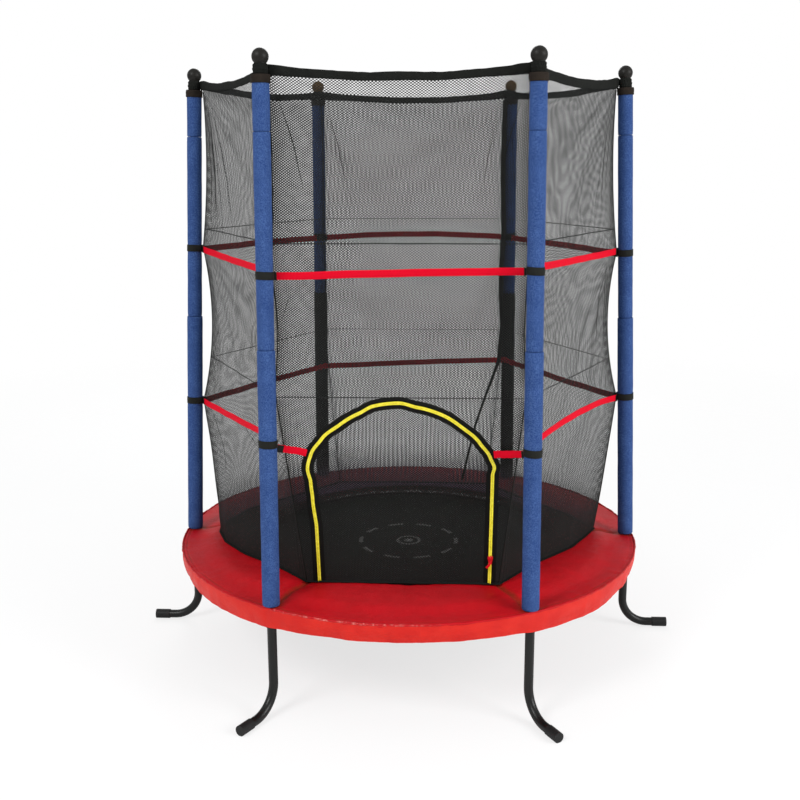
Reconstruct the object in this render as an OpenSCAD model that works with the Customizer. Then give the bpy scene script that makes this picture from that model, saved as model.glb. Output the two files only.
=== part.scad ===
// Round children's trampoline with a six-pole safety net enclosure and a zipped net door.
// Millimetres, +Z up, the origin on the floor under the middle of the mat, the door facing -Y.
// Pole 0 stands on the +X axis and the others follow every 60 degrees, counter-clockwise.

/* [Frame and legs] */
// Outer radius of the safety pad
pad_r = 700; // [640:1:760]
// Distance from the pad's outer edge in to the pole axes
pole_inset = 21; // [20:0.5:30]
// Height of the frame tube's centre above the floor
frame_z = 277; // [230:1:330]
// Outer diameter of the frame, leg and pole tubes
tube_d = 25; // [22:0.5:28]
// Wall of those tubes
tube_wall = 1.5; // [1.2:0.1:2]
// Wall of the leg sleeves welded to the frame tube
sleeve_wall = 2.2; // [1.8:0.1:3]
// How far a swaged tube end reaches into the next tube
spigot_l = 55; // [30:1:80]
// Bend radius of the legs, on the tube's centre line
leg_bend_r = 78; // [60:1:100]
// Straight run of a foot beyond the bend
foot_run = 58; // [45:1:90]
// Length of a foot cap along the tube
foot_cap_l = 40; // [25:1:44]
// Wall of the foot caps
foot_cap_wall = 1.7; // [1.5:0.1:3]

/* [Poles] */
// Height of the ball caps' centres
ball_z = 1690; // [1600:1:1800]
// Diameter of the ball caps
ball_d = 41; // [36:1:50]
// Height of the joint between the lower and upper poles
pole_joint_z = 1000; // [940:1:1080]
// Inward lean of the two side poles, in degrees
side_lean = 2.5; // [0:0.1:3]
// Inward lean of the two front and two back poles, in degrees
end_lean = 1; // [0:0.1:3]
// Outer diameter of the foam sleeves
foam_d = 46; // [40:1:50]
// Height of the foam joint in the middle of the poles
foam_joint_z = 990; // [900:1:1060]
// Height of the foam joint near the top
foam_top_joint_z = 1518; // [1440:1:1560]
// Bare neck of the cap, between the foam and the ball
neck_l = 28; // [27:1:36]

/* [Safety pad] */
// Radial width of the pad
pad_w = 245; // [225:1:255]
// Thickness of the pad at the poles
pad_edge_t = 19; // [14:1:26]
// Rise of the pad's crown above the edge
pad_crown = 11; // [6:1:16]
// Height of the skirt below the pad's edge
skirt_h = 49; // [40:1:58]
// Thickness of the cover's skin
cover_t = 1.5; // [1.2:0.1:2.5]
// Depth of the sewn seams that draw the pad in at each pole
seam_depth = 5; // [2:0.5:7]

/* [Jumping mat] */
// How far the mat reaches under the pad
mat_overlap = 33; // [28:1:40]
// Thickness of the mat
mat_t = 1.4; // [1:0.1:2]
// Number of elastic straps round the mat
strap_count = 36; // [24:12:36]
// Thickness of the elastic where it wraps the frame tube
wrap_t = 2; // [1.5:0.1:2.4]

/* [Net] */
// Radius of the net's bottom corners at the side poles
net_side_r = 573; // [560:1:590]
// Radius of the net's bottom corners at the front and back poles
net_end_r = 525; // [520:1:535]
// Thickness of the net's cords
net_t = 2.4; // [1.6:0.2:3]
// Width of the net's cords
cord_w = 6; // [4:0.5:9]
// Columns of mesh across each panel
net_cols = 5; // [4:1:5]
// Slack of the net between its ties, measured in from the poles
net_slack = 24; // [5:1:40]
// Height of the net's top hem
top_hem_h = 24; // [16:1:25]
// Sag of the top hem between two poles
top_hem_sag = 18; // [0:1:30]
// Width of the bottom hem
bottom_hem_w = 14; // [10:1:18]

/* [Straps] */
// Height of the lower webbing strap
lower_strap_z = 739; // [700:1:780]
// Height of the upper webbing strap
upper_strap_z = 1183; // [1120:1:1250]
// Width of the webbing
webbing_w = 19; // [14:1:24]
// Thickness of the webbing
webbing_t = 2; // [1.4:0.1:3]

/* [Door] */
// Width between the two zip lines
door_w = 476; // [440:1:478]
// Height of the straight sides of the door
door_side_h = 325; // [300:1:340]
// Rise of the door's arch above its sides
door_rise = 208; // [180:1:212]
// Width of the black tape on each side of the zip
tape_w = 13; // [11:0.5:13]
// Width of one half of the zip's yellow chain
chain_w = 5; // [3:0.5:6]
// Height of the zip's slider above the door's foot
slider_up = 75; // [62:1:100]

/* [Hidden] */
$fn = 64;
fit = 0.3;
eps = 0.01;
sides = 6;
step = 360 / sides;
flat_to_corner = cos(step / 2);

// Frame
tube_r = tube_d / 2;
bore_r = tube_r - tube_wall;
spigot_r = bore_r - fit;
spigot_wall = 1.5;
swage_l = 3;
swage_lip = 1;
sleeve_in_r = tube_r + fit;
sleeve_r = sleeve_in_r + sleeve_wall;
weld = 0.6;
pole_r = pad_r - pole_inset;
frame_r = pole_r - tube_r - sleeve_r + weld;
sleeve_top_z = frame_z + tube_r - 0.5;
sleeve_bottom_z = frame_z - tube_r - 14;
shoulder_z = sleeve_top_z + 1;
frame_spigot_a = 34 / frame_r * 180 / PI;
foot_cap_r = tube_r + fit + foot_cap_wall;
foot_flat = 0.5;
foot_z = foot_cap_r - foot_flat;
foot_end_r = pole_r + leg_bend_r + foot_run;
foot_cap_end = 4;

// Screws
leg_screw_z = sleeve_bottom_z + 6.5;
leg_screw_r = 3;
leg_screw_head_r = 5.6;
leg_screw_head_t = 4;
leg_screw_reach = 9;
joint_screw_r = 2;
joint_screw_head_r = 4.2;
joint_screw_head_t = 2.4;
joint_screw_reach = 6;

// Poles
foam_r = foam_d / 2;
ball_r = ball_d / 2;
cap_bore_r = tube_r + fit;
cap_neck_r = cap_bore_r + 1.8;
foam_top_z = ball_z - ball_r * 0.66 - neck_l;
pole_top_z = ball_z - 5;
pole_gap = tube_r * sin(max(side_lean, end_lean)) + fit;

// Pad
pad_in_r = pad_r - pad_w;
pad_z = frame_z + tube_r + fit + wrap_t + fit;
pad_edge_z = pad_z + pad_edge_t;
pad_top_z = pad_edge_z + pad_crown;
pad_round = 8;
pad_slope_out_r = pole_r - foam_r - 4;
pad_slope_w = 62;
pad_slope_in_r = pad_slope_out_r - pad_slope_w;
pad_steps = 8;
cavity_steps = 5;
skirt_t = 3;
pole_hole_r = tube_r + 1.5;
seam_w = 7;
web_a = 2;

// Mat
mat_r = pad_in_r + mat_overlap;
hem_in = 20;
hem_skin = 1.2;
ring_r = 9;
ring_wire_r = 2;
ring_c = mat_r + 17;
tab_w = 10;
tab_skin = 1;
tab_t = 2 * (ring_wire_r + fit + tab_skin);
tab_lip = 2;
ring_near = sqrt(pow(ring_r - ring_wire_r, 2) - tab_w * tab_w / 4) - fit;
elastic_t = 3;
tie_w = 20;

// Net levels
hem_t = 3;
bottom_hem_z = pad_top_z + fit;
net_z = bottom_hem_z + hem_t + fit;
fold_z = 885;
loop_z = foam_top_z + 1;
hem_thick = 4;
hem_lap = 6;
net_top_z = loop_z + hem_lap;
band_t = 2;
band_h = webbing_w + 1;
band_r = foam_r + fit + band_t;
tie_inset = band_r + fit + (webbing_t + fit + net_t / 2) / flat_to_corner;
top_inset = foam_r + fit + net_t / 2 / flat_to_corner;
loop_r = top_inset - (net_t / 2 + fit + hem_thick) / flat_to_corner - fit;

// Door plane
door_gap = 0.4;
bead_r = 1.8;
tape_t = 3;
chain_t = 1.5;
arch_steps = 24;
rim_w = 3;
net_front_y = net_end_r * flat_to_corner;
fold_r = pole_r_at(1, fold_z) - tie_inset;
door_tilt = atan((fold_r - net_end_r) * flat_to_corner / (fold_z - net_z));
fold_s = (fold_z - net_z) / cos(door_tilt);
door_cols = 4;
door_rows = 5;

// Slider and pull
slider_w = 14;
slider_l = 26;
slider_t = 3;
slider_z0 = tape_t / 2 + chain_t + fit;
pin_r = 1.2;
pin_up = 8;
pin_out = 3.4;
ear_t = 2;
pull_eye_r = 2.7;
pull_eye_w = 5.4;
pull_bore_r = pin_r + 0.05;
pull_l = 24;
pull_w = 9;
pull_t = 2;

// ---------------------------------------------------------------- places

// Lean of pole i: poles 0 and 3 are the side poles.
function lean(i) = i % 3 == 0 ? side_lean : end_lean;

// Distance of pole i's axis from the middle of the mat at height z.
function pole_r_at(i, z) = pole_r - tan(lean(i)) * (z - shoulder_z);

function on_circle(r, a, z) = [r * cos(a), r * sin(a), z];

function mix(a, b, t) = a + (b - a) * t;

// Children are drawn along pole i: local Z runs up the leaning pole from the leg's shoulder.
module on_pole(i) {
    rotate([0, 0, step * i])
        translate([pole_r, 0, shoulder_z])
            rotate([0, -lean(i), 0])
                children();
}

module on_every_pole() {
    for (i = [0 : sides - 1]) on_pole(i) children();
}

// A straight tube on the local Z axis between two heights.
module tube(r, bore, z0, z1) {
    translate([0, 0, z0])
        difference() {
            cylinder(r = r, h = z1 - z0);
            translate([0, 0, -eps])
                cylinder(r = bore, h = z1 - z0 + 2 * eps);
        }
}

// ---------------------------------------------------------------- frame

// A stretch of the round frame tube, between two angles.
module ring_tube(r, a0, a1) {
    rotate([0, 0, a0])
        translate([0, 0, frame_z])
            rotate_extrude(angle = a1 - a0, $fn = 180)
                translate([frame_r, 0])
                    circle(r = r);
}

module joint_screw_hole(a) {
    rotate([0, 0, a])
        translate([frame_r, 0, frame_z - tube_r - 1])
            cylinder(r = joint_screw_r + fit, h = joint_screw_reach + 2);
}

module leg_screw_hole() {
    translate([-sleeve_r - 2, 0, leg_screw_z])
        rotate([0, 90, 0])
            cylinder(r = leg_screw_r + fit, h = sleeve_r + 2);
}

module frame_arc(i) {
    a = step * i;
    half = step / 2;
    swage_a = swage_l / frame_r * 180 / PI;
    color([0.12, 0.13, 0.12])
        difference() {
            union() {
                ring_tube(tube_r, a - half, a + half);
                ring_tube(spigot_r, a + half - swage_a, a + half + frame_spigot_a);
                rotate([0, 0, a])
                    translate([pole_r, 0, sleeve_bottom_z])
                        cylinder(r = sleeve_r, h = sleeve_top_z - sleeve_bottom_z);
            }
            ring_tube(bore_r, a - half - 1, a + half - swage_a);
            ring_tube(spigot_r - spigot_wall, a + half - swage_a - 0.1, a + half + frame_spigot_a + 1);
            rotate([0, 0, a])
                translate([pole_r, 0, sleeve_bottom_z - 1])
                    cylinder(r = sleeve_in_r, h = sleeve_top_z - sleeve_bottom_z + 2);
            rotate([0, 0, a])
                translate([pole_r, 0, 0])
                    leg_screw_hole();
            joint_screw_hole(a - half + frame_spigot_a / 2);
            joint_screw_hole(a + half + frame_spigot_a / 2);
        }
}

// The bent leg tube, solid, with radius r: straight down, round the bend and out along the floor.
module leg_path(r, top, extra) {
    translate([0, 0, foot_z + leg_bend_r])
        cylinder(r = r, h = top - foot_z - leg_bend_r);
    translate([leg_bend_r, 0, foot_z + leg_bend_r])
        rotate([90, 0, 0])
            rotate([0, 0, 180])
                rotate_extrude(angle = 90)
                    translate([leg_bend_r, 0])
                        circle(r = r);
    translate([leg_bend_r, 0, foot_z])
        rotate([0, 90, 0])
            cylinder(r = r, h = foot_run + extra);
}

module leg(i) {
    color([0.12, 0.13, 0.12])
        union() {
            rotate([0, 0, step * i])
                translate([pole_r, 0, 0])
                    difference() {
                        leg_path(tube_r, shoulder_z, 0);
                        leg_path(bore_r, shoulder_z - swage_l, 1);
                        translate([0, 0, shoulder_z - swage_l - 1])
                            cylinder(r = spigot_r - spigot_wall - swage_lip, h = swage_l + 2);
                        leg_screw_hole();
                    }
            on_pole(i)
                tube(spigot_r, spigot_r - spigot_wall, -swage_l / 2, spigot_l);
        }
}

module foot_caps() {
    color([0.07, 0.07, 0.07])
        for (i = [0 : sides - 1])
            rotate([0, 0, step * i])
                difference() {
                    translate([foot_end_r - foot_cap_l, 0, foot_z])
                        rotate([0, 90, 0])
                            cylinder(r = foot_cap_r, h = foot_cap_l + fit + foot_cap_end);
                    translate([foot_end_r - foot_cap_l - 1, 0, foot_z])
                        rotate([0, 90, 0])
                            cylinder(r = tube_r + fit, h = foot_cap_l + 1 + fit);
                    translate([foot_end_r - foot_cap_l - 1, -foot_cap_r, -foot_cap_r])
                        cube([foot_cap_l + foot_cap_end + 4, 2 * foot_cap_r, foot_cap_r]);
                }
}

// A hexagon-headed screw through each leg sleeve and a flat-headed one under each frame joint.
module frame_screws() {
    color("silver")
        for (i = [0 : sides - 1]) {
            rotate([0, 0, step * i])
                translate([pole_r - sleeve_r - fit - leg_screw_head_t, 0, leg_screw_z])
                    rotate([0, 90, 0]) {
                        cylinder(r = leg_screw_head_r, h = leg_screw_head_t, $fn = 6);
                        cylinder(r = leg_screw_r, h = leg_screw_head_t + leg_screw_reach);
                    }
            rotate([0, 0, step * (i + 0.5) + frame_spigot_a / 2])
                translate([frame_r, 0, frame_z - tube_r - fit - joint_screw_head_t]) {
                    cylinder(r = joint_screw_head_r, h = joint_screw_head_t);
                    cylinder(r = joint_screw_r, h = joint_screw_head_t + joint_screw_reach);
                }
        }
}

// ---------------------------------------------------------------- poles

module lower_pole(i) {
    top = pole_joint_z - shoulder_z;
    color([0.2, 0.21, 0.2])
        on_pole(i)
            difference() {
                union() {
                    translate([0, 0, pole_gap])
                        cylinder(r = tube_r, h = top - pole_gap);
                    translate([0, 0, top - eps])
                        cylinder(r = spigot_r, h = spigot_l);
                }
                translate([0, 0, pole_gap - 1])
                    cylinder(r = bore_r, h = top - swage_l - pole_gap + 1);
                translate([0, 0, top - swage_l - 1])
                    cylinder(r = spigot_r - spigot_wall, h = spigot_l + swage_l + 2);
            }
}

module upper_pole(i) {
    color([0.2, 0.21, 0.2])
        on_pole(i)
            tube(tube_r, bore_r, pole_joint_z - shoulder_z + fit, pole_top_z - shoulder_z);
}

module pole_caps() {
    foot = foam_top_z - shoulder_z + fit;
    ball = ball_z - shoulder_z;
    color([0.16, 0.15, 0.14])
        on_every_pole()
            difference() {
                union() {
                    translate([0, 0, ball])
                        sphere(r = ball_r);
                    translate([0, 0, foot])
                        cylinder(r = cap_neck_r, h = ball - foot);
                }
                translate([0, 0, foot - 1])
                    cylinder(r = cap_bore_r, h = pole_top_z + fit - shoulder_z - foot + 1);
            }
}

// One foam sleeve on pole i, between two heights.
module foam_sleeve(i, z0, z1) {
    on_pole(i)
        tube(foam_r, tube_r + fit, z0 - shoulder_z, z1 - shoulder_z);
}

module top_foams() {
    color([0.24, 0.38, 0.64])
        for (i = [0 : sides - 1]) foam_sleeve(i, foam_top_joint_z + fit, foam_top_z);
}

module middle_foams() {
    color([0.24, 0.38, 0.64])
        for (i = [0 : sides - 1]) foam_sleeve(i, foam_joint_z + fit, foam_top_joint_z);
}

// The sleeve stands on the pad, so its foot clears the pad by the drop of its leaning rim.
function foam_foot_z(i) = pad_edge_z + fit + foam_r * sin(lean(i));

module lower_foams() {
    color([0.24, 0.38, 0.64])
        for (i = [0, 3, 4, 5]) foam_sleeve(i, foam_foot_z(i), foam_joint_z);
}

module lower_foams_back() {
    color([0.1, 0.1, 0.1])
        for (i = [1, 2]) foam_sleeve(i, foam_foot_z(i), foam_joint_z);
}

// ---------------------------------------------------------------- mat

module jump_mat() {
    color([0.1, 0.11, 0.1])
        translate([0, 0, frame_z - mat_t / 2])
            cylinder(r = mat_r - fit, h = mat_t, $fn = 180);
}

// Binding folded over the mat's edge, with a webbing tab for each ring.
module mat_hem() {
    half_slot = mat_t / 2 + fit;
    slot_in = ring_c - ring_r - ring_wire_r - fit;
    slot_out = ring_c - ring_near;
    color([0.08, 0.08, 0.08])
        difference() {
            union() {
                translate([0, 0, frame_z])
                    rotate_extrude($fn = 180)
                        translate([mat_r - hem_in, -half_slot - hem_skin])
                            square([hem_in + hem_skin, 2 * (half_slot + hem_skin)]);
                for (k = [0 : strap_count - 1])
                    rotate([0, 0, (k + 0.5) * 360 / strap_count])
                        translate([mat_r + hem_skin / 2, -tab_w / 2, frame_z - tab_t / 2])
                            cube([slot_out + tab_lip - mat_r - hem_skin / 2, tab_w, tab_t]);
            }
            translate([0, 0, frame_z - half_slot])
                cylinder(r = mat_r, h = 2 * half_slot, $fn = 180);
            for (k = [0 : strap_count - 1])
                rotate([0, 0, (k + 0.5) * 360 / strap_count])
                    translate([slot_in, -tab_w, frame_z - ring_wire_r - fit])
                        cube([slot_out - slot_in, 2 * tab_w, 2 * (ring_wire_r + fit)]);
        }
}

module mat_rings() {
    color("silver")
        for (k = [0 : strap_count - 1])
            rotate([0, 0, (k + 0.5) * 360 / strap_count])
                translate([ring_c, 0, frame_z])
                    rotate_extrude($fn = 32)
                        translate([ring_r, 0])
                            circle(r = ring_wire_r, $fn = 20);
}

// A flat elastic strap: an eye round the mat's ring, a stretch outward and a wrap round the tube.
module elastic_strap() {
    slot_in = ring_c + ring_near;
    slot_out = ring_c + ring_r + ring_wire_r + fit;
    wrap_r = tube_r + fit + wrap_t;
    eye_in = slot_in - tab_lip;
    difference() {
        union() {
            translate([eye_in, -tab_w / 2, -tab_t / 2])
                cube([slot_out + tab_lip - eye_in, tab_w, tab_t]);
            translate([slot_out + tab_lip / 2, -tab_w / 2, -elastic_t / 2])
                cube([frame_r - wrap_r + wrap_t / 2 - slot_out - tab_lip / 2, tab_w, elastic_t]);
            translate([frame_r, 0, 0])
                rotate([90, 0, 0])
                    difference() {
                        cylinder(r = wrap_r, h = tab_w, center = true);
                        cylinder(r = tube_r + fit, h = tab_w + 1, center = true);
                    }
        }
        translate([slot_in, -tab_w, -ring_wire_r - fit])
            cube([slot_out - slot_in, 2 * tab_w, 2 * (ring_wire_r + fit)]);
    }
}

module elastic_straps() {
    color([0.13, 0.13, 0.13])
        for (k = [0 : strap_count - 1])
            rotate([0, 0, (k + 0.5) * 360 / strap_count])
                translate([0, 0, frame_z])
                    elastic_strap();
}

// ---------------------------------------------------------------- pad

// Height of the pad's top at radius r: level over the inner half, then down to the poles.
function pad_top_at(r) =
    r <= pad_slope_in_r ? pad_top_z :
    r >= pad_slope_out_r ? pad_edge_z :
    pad_edge_z + pad_crown * (0.5 + 0.5 * cos(180 * (r - pad_slope_in_r) / pad_slope_w));

// The pad's half section from the foot of its inner edge over the top, drawn in by d.
function pad_rim(d) = concat(
    [[pad_in_r + d, pad_z + d]],
    [for (k = [0 : 4]) let (a = 180 - 22.5 * k)
        [pad_in_r + pad_round + (pad_round - d) * cos(a), pad_top_z - pad_round + (pad_round - d) * sin(a)]],
    [let (n = d > 0 ? cavity_steps : pad_steps) for (k = [0 : n])
        let (r = mix(pad_slope_in_r, pad_slope_out_r, k / n)) [r, pad_top_at(r) - d]],
    [for (k = [0 : 3]) let (a = 90 - 30 * k, q = pad_round / 2)
        [pad_r - q + (q - d) * cos(a), pad_edge_z - q + (q - d) * sin(a)]]);

// The section closed along the pad's underside, and the same with the skirt hanging from it.
function pad_section(d) = concat(pad_rim(d), [[pad_r - d, pad_z + d]]);
pad_skirt_section = concat(pad_rim(0), [
    [pad_r, pad_edge_z - skirt_h], [pad_r - skirt_t, pad_edge_z - skirt_h], [pad_r - skirt_t, pad_z]]);

// One sewn panel's cavity, or the foam in it: the section turned between two seams.
module pad_panel(i, d, a) {
    rotate([0, 0, step * i + a])
        rotate_extrude(angle = step - 2 * a, $fn = 180)
            polygon(pad_section(d));
}

// The seam's groove: a level cut through the crown that runs out on the slope before the pole.
module seam_groove(i) {
    rotate([0, 0, step * i])
        translate([pad_in_r - 1, -seam_w / 2, pad_top_z - seam_depth])
            cube([pad_slope_out_r - pad_in_r, seam_w, seam_depth + 1]);
}

module pad_cover() {
    color([0.74, 0.09, 0.1])
        difference() {
            rotate([0, 0, step / 3])
                rotate_extrude($fn = 180)
                    polygon(pad_skirt_section);
            for (i = [0 : sides - 1]) {
                pad_panel(i, cover_t, web_a);
                seam_groove(i);
                rotate([0, 0, step * i])
                    translate([pole_r, 0, pad_z - 1])
                        cylinder(r = pole_hole_r, h = pad_edge_t + 2);
            }
        }
}

module pad_foam() {
    fit_a = fit / pad_in_r * 180 / PI;
    color([0.9, 0.9, 0.86])
        for (i = [0 : sides - 1]) pad_panel(i, cover_t + fit, web_a + fit_a);
}

// Webbing ties that hold the pad down on the frame tube.
module pad_ties() {
    color([0.08, 0.08, 0.08])
        for (i = [0 : sides - 1], side = [-1, 1])
            rotate([0, 0, step * (i + 0.5) + side * 10])
                translate([frame_r, 0, frame_z])
                    rotate([90, 0, 0])
                        difference() {
                            cylinder(r = tube_r + fit + wrap_t, h = tie_w, center = true);
                            cylinder(r = tube_r + fit, h = tie_w + 1, center = true);
                        }
}

// ---------------------------------------------------------------- net

// How far the net's corner hangs in from the pole's axis, by height: it is tied in at the straps
// and at the top, and slack between them. The front and back corners run straight up to the fold.
function net_inset(i, z) = i % 3 == 0
    ? lookup(z, [
        [net_z, pole_r_at(i, net_z) - net_side_r],
        [lower_strap_z, tie_inset],
        [fold_z, tie_inset + net_slack],
        [mix(fold_z, upper_strap_z, 0.5), tie_inset + net_slack],
        [upper_strap_z, tie_inset],
        [mix(upper_strap_z, net_top_z, 0.4), tie_inset + net_slack / 2],
        [net_top_z, top_inset]])
    : lookup(z, [
        [net_z, pole_r_at(i, net_z) - net_end_r],
        [fold_z, tie_inset],
        [mix(fold_z, upper_strap_z, 0.5), tie_inset + net_slack],
        [upper_strap_z, tie_inset],
        [mix(upper_strap_z, net_top_z, 0.4), tie_inset + net_slack / 2],
        [net_top_z, top_inset]]);

function net_corner(i, z, off) =
    on_circle(pole_r_at(i, z) - net_inset(i, z) + off / flat_to_corner, step * i, z);

// A point of panel k at share u of its width and height z, off its middle surface by off.
function net_point(k, u, z, off) = mix(net_corner(k, z, off), net_corner(k + 1, z, off), u);

// Rows of mesh: three below the lower strap, one to the fold, two to the upper strap, three above.
levels = concat(
    [for (k = [0 : 2]) mix(net_z, lower_strap_z, k / 3)],
    [lower_strap_z, fold_z, mix(fold_z, upper_strap_z, 0.5)],
    [for (k = [0 : 3]) mix(upper_strap_z, net_top_z, k / 3)]);
fold_row = 4;
top_row = len(levels) - 1;

// The top row sags with the hem; all other rows are level.
function sag_at(u) = top_hem_sag * 4 * u * (1 - u);
function row_point(k, u, row, dz, off) = let (z = levels[row] + dz)
    net_point(k, u, z, off) - [0, 0, row == top_row ? sag_at(u) : 0];

function quad_faces(a, b, c, d) = [[a, b, c], [a, c, d]];

// One panel of square mesh between two rows, as a closed surface of triangles.
module net_mesh(k, row0, row1) {
    nc = net_cols;
    nr = row1 - row0;
    edge = fit / 2 / pole_r;
    hu = cord_w / 2 / pole_r;
    hz = cord_w / 2;
    grid = (nc + 1) * (nr + 1);
    holes = nc * nr * 4;
    function at_grid(s, r, c) = s * grid + r * (nc + 1) + c;
    function at_hole(s, r, c, j) = 2 * grid + s * holes + (r * nc + c) * 4 + j % 4;
    function col(c) = mix(edge, 1 - edge, c / nc);
    function off(s) = s == 0 ? -net_t / 2 : net_t / 2;
    function turned(s, f) = s == 1 ? f : [for (t = f) [t[2], t[1], t[0]]];
    points = concat(
        [for (s = [0, 1], r = [0 : nr], c = [0 : nc]) row_point(k, col(c), row0 + r, 0, off(s))],
        [for (s = [0, 1], r = [0 : nr - 1], c = [0 : nc - 1], j = [0 : 3]) let (
            u = j < 2 ? col(c) + hu : col(c + 1) - hu,
            up = j == 1 || j == 2,
            row = row0 + r + (up ? 1 : 0))
            row_point(k, u, row, up ? -hz : hz, off(s))]);
    surfaces = [for (s = [0, 1], r = [0 : nr - 1], c = [0 : nc - 1], j = [0 : 3]) let (
        corner = [[0, 0], [1, 0], [1, 1], [0, 1]],
        p = corner[j],
        q = corner[(j + 1) % 4])
        each turned(s, quad_faces(
            at_grid(s, r + p[0], c + p[1]), at_grid(s, r + q[0], c + q[1]),
            at_hole(s, r, c, j + 1), at_hole(s, r, c, j)))];
    hole_walls = [for (r = [0 : nr - 1], c = [0 : nc - 1], j = [0 : 3])
        each quad_faces(at_hole(1, r, c, j), at_hole(1, r, c, j + 1),
            at_hole(0, r, c, j + 1), at_hole(0, r, c, j))];
    end_walls = concat(
        [for (c = [0 : nc - 1]) each quad_faces(
            at_grid(1, nr, c), at_grid(0, nr, c), at_grid(0, nr, c + 1), at_grid(1, nr, c + 1))],
        [for (c = [0 : nc - 1]) each quad_faces(
            at_grid(1, 0, c + 1), at_grid(0, 0, c + 1), at_grid(0, 0, c), at_grid(1, 0, c))],
        [for (r = [0 : nr - 1]) each quad_faces(
            at_grid(1, r, 0), at_grid(0, r, 0), at_grid(0, r + 1, 0), at_grid(1, r + 1, 0))],
        [for (r = [0 : nr - 1]) each quad_faces(
            at_grid(1, r + 1, nc), at_grid(0, r + 1, nc), at_grid(0, r, nc), at_grid(1, r, nc))]);
    color([0.2, 0.2, 0.2])
        polyhedron(points, concat(surfaces, hole_walls, end_walls), convexity = 8);
}

// The hem round the outside of the net's top edge, leaning with the poles and sagging between them.
module net_top_hem() {
    n = net_cols;
    rings = sides * n;
    function ring_point(q, j) = let (
        k = floor(q / n),
        u = (q % n) / n,
        out = net_t / 2 + fit + (j == 1 || j == 2 ? hem_thick : 0),
        up = j >= 2 ? top_hem_h - hem_lap : -hem_lap)
        net_point(k, u, net_top_z + up, out) - [0, 0, sag_at(u)];
    color([0.08, 0.08, 0.07])
        polyhedron(
            [for (q = [0 : rings - 1], j = [0 : 3]) ring_point(q, j)],
            [for (q = [0 : rings - 1], j = [0 : 3]) let (w = (q + 1) % rings, v = (j + 1) % 4)
                each quad_faces(4 * q + j, 4 * q + v, 4 * w + v, 4 * w + j)],
            convexity = 8);
}

// Corner points of a hexagon that follows the net's corners at one height, off by off.
function corner_ring(radii, off) =
    [for (i = [0 : sides - 1])
        let (p = on_circle(radii[i] + off / flat_to_corner, step * i, 0)) [p[0], p[1]]];

module net_bottom_hem() {
    radii = [for (i = [0 : sides - 1]) i % 3 == 0 ? net_side_r : net_end_r];
    color([0.08, 0.08, 0.07])
        translate([0, 0, bottom_hem_z])
            linear_extrude(hem_t)
                difference() {
                    polygon(corner_ring(radii, bottom_hem_w / 2));
                    polygon(corner_ring(radii, -bottom_hem_w / 2));
                }
}

// Closing tape on the back of the net: down beside the back right pole, then slanting to the pad.
module net_back_tape() {
    width = 9;
    thick = 1.2;
    gap = net_t / 2 + fit;
    top = net_top_z - hem_lap - 6;
    kink = lower_strap_z + 20;
    foot = net_z + 12;
    heights = concat(
        [top],
        [for (r = [top_row - 1 : -1 : fold_row]) levels[r]],
        [kink],
        [for (r = [fold_row - 1 : -1 : 1]) levels[r]],
        [foot]);
    route = [for (z = heights) [
        lookup(z, [[foot, 0.17], [kink, 0.04], [fold_z, 0.045], [upper_strap_z, 0.06], [top, 0.075]]),
        z]];
    last = len(route) - 1;
    span = width / pole_r;
    function tape_point(q, j) = let (
        p = route[q],
        out = j == 1 || j == 2 ? -gap : -gap - thick,
        u = p[0] + (j >= 2 ? span : 0))
        net_point(1, u, p[1], out);
    color([0.07, 0.07, 0.07])
        polyhedron(
            [for (q = [0 : last], j = [0 : 3]) tape_point(q, j)],
            concat(
                [for (q = [0 : last - 1], j = [0 : 3]) let (v = (j + 1) % 4)
                    each quad_faces(4 * q + v, 4 * q + j, 4 * q + 4 + j, 4 * q + 4 + v)],
                quad_faces(0, 1, 2, 3),
                quad_faces(4 * last + 3, 4 * last + 2, 4 * last + 1, 4 * last)),
            convexity = 4);
}

module hem_loops() {
    z0 = loop_z - shoulder_z;
    color([0.08, 0.08, 0.07])
        on_every_pole()
            tube(loop_r, cap_neck_r + fit, z0, z0 + neck_l - 3);
}

// ---------------------------------------------------------------- straps

// The strap's outer corners stay clear of the leaning bands over the whole width of the webbing.
function strap_radii(z) =
    [for (i = [0 : sides - 1]) pole_r_at(i, z + webbing_w / 2) - band_r - fit];

module upper_strap() {
    radii = strap_radii(upper_strap_z);
    color([0.85, 0.05, 0.13])
        translate([0, 0, upper_strap_z - webbing_w / 2])
            linear_extrude(webbing_w)
                difference() {
                    polygon(corner_ring(radii, 0));
                    polygon(corner_ring(radii, -webbing_t));
                }
}

// The lower strap runs round the back and ends on both sides of the door.
module lower_strap() {
    radii = strap_radii(lower_strap_z);
    outer = corner_ring(radii, 0);
    inner = corner_ring(radii, -webbing_t);
    end_x = door_w / 2 + door_gap + tape_w + fit;
    z_up = lower_strap_z + webbing_w / 2 - net_z;
    end_y = net_front_y + z_up * tan(door_tilt) + net_t / 2 / cos(door_tilt) + fit;
    color([0.85, 0.05, 0.13])
        translate([0, 0, lower_strap_z - webbing_w / 2])
            linear_extrude(webbing_w)
                polygon([
                    [end_x, -end_y - webbing_t], outer[5], outer[0], outer[1], outer[2], outer[3], outer[4],
                    [-end_x, -end_y - webbing_t], [-end_x, -end_y],
                    inner[4], inner[3], inner[2], inner[1], inner[0], inner[5], [end_x, -end_y]]);
}

module strap_bands() {
    color([0.06, 0.06, 0.06])
        for (z = [lower_strap_z, upper_strap_z])
            on_every_pole()
                tube(band_r, foam_r + fit, z - shoulder_z - band_h / 2, z - shoulder_z + band_h / 2);
}

// ---------------------------------------------------------------- door

// Local X and Y lie in the front net's lower plane, with Y up the net and Z out of the enclosure.
module on_front_net() {
    translate([0, -net_front_y, net_z])
        rotate([90 + door_tilt, 0, 0])
            children();
}

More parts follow.
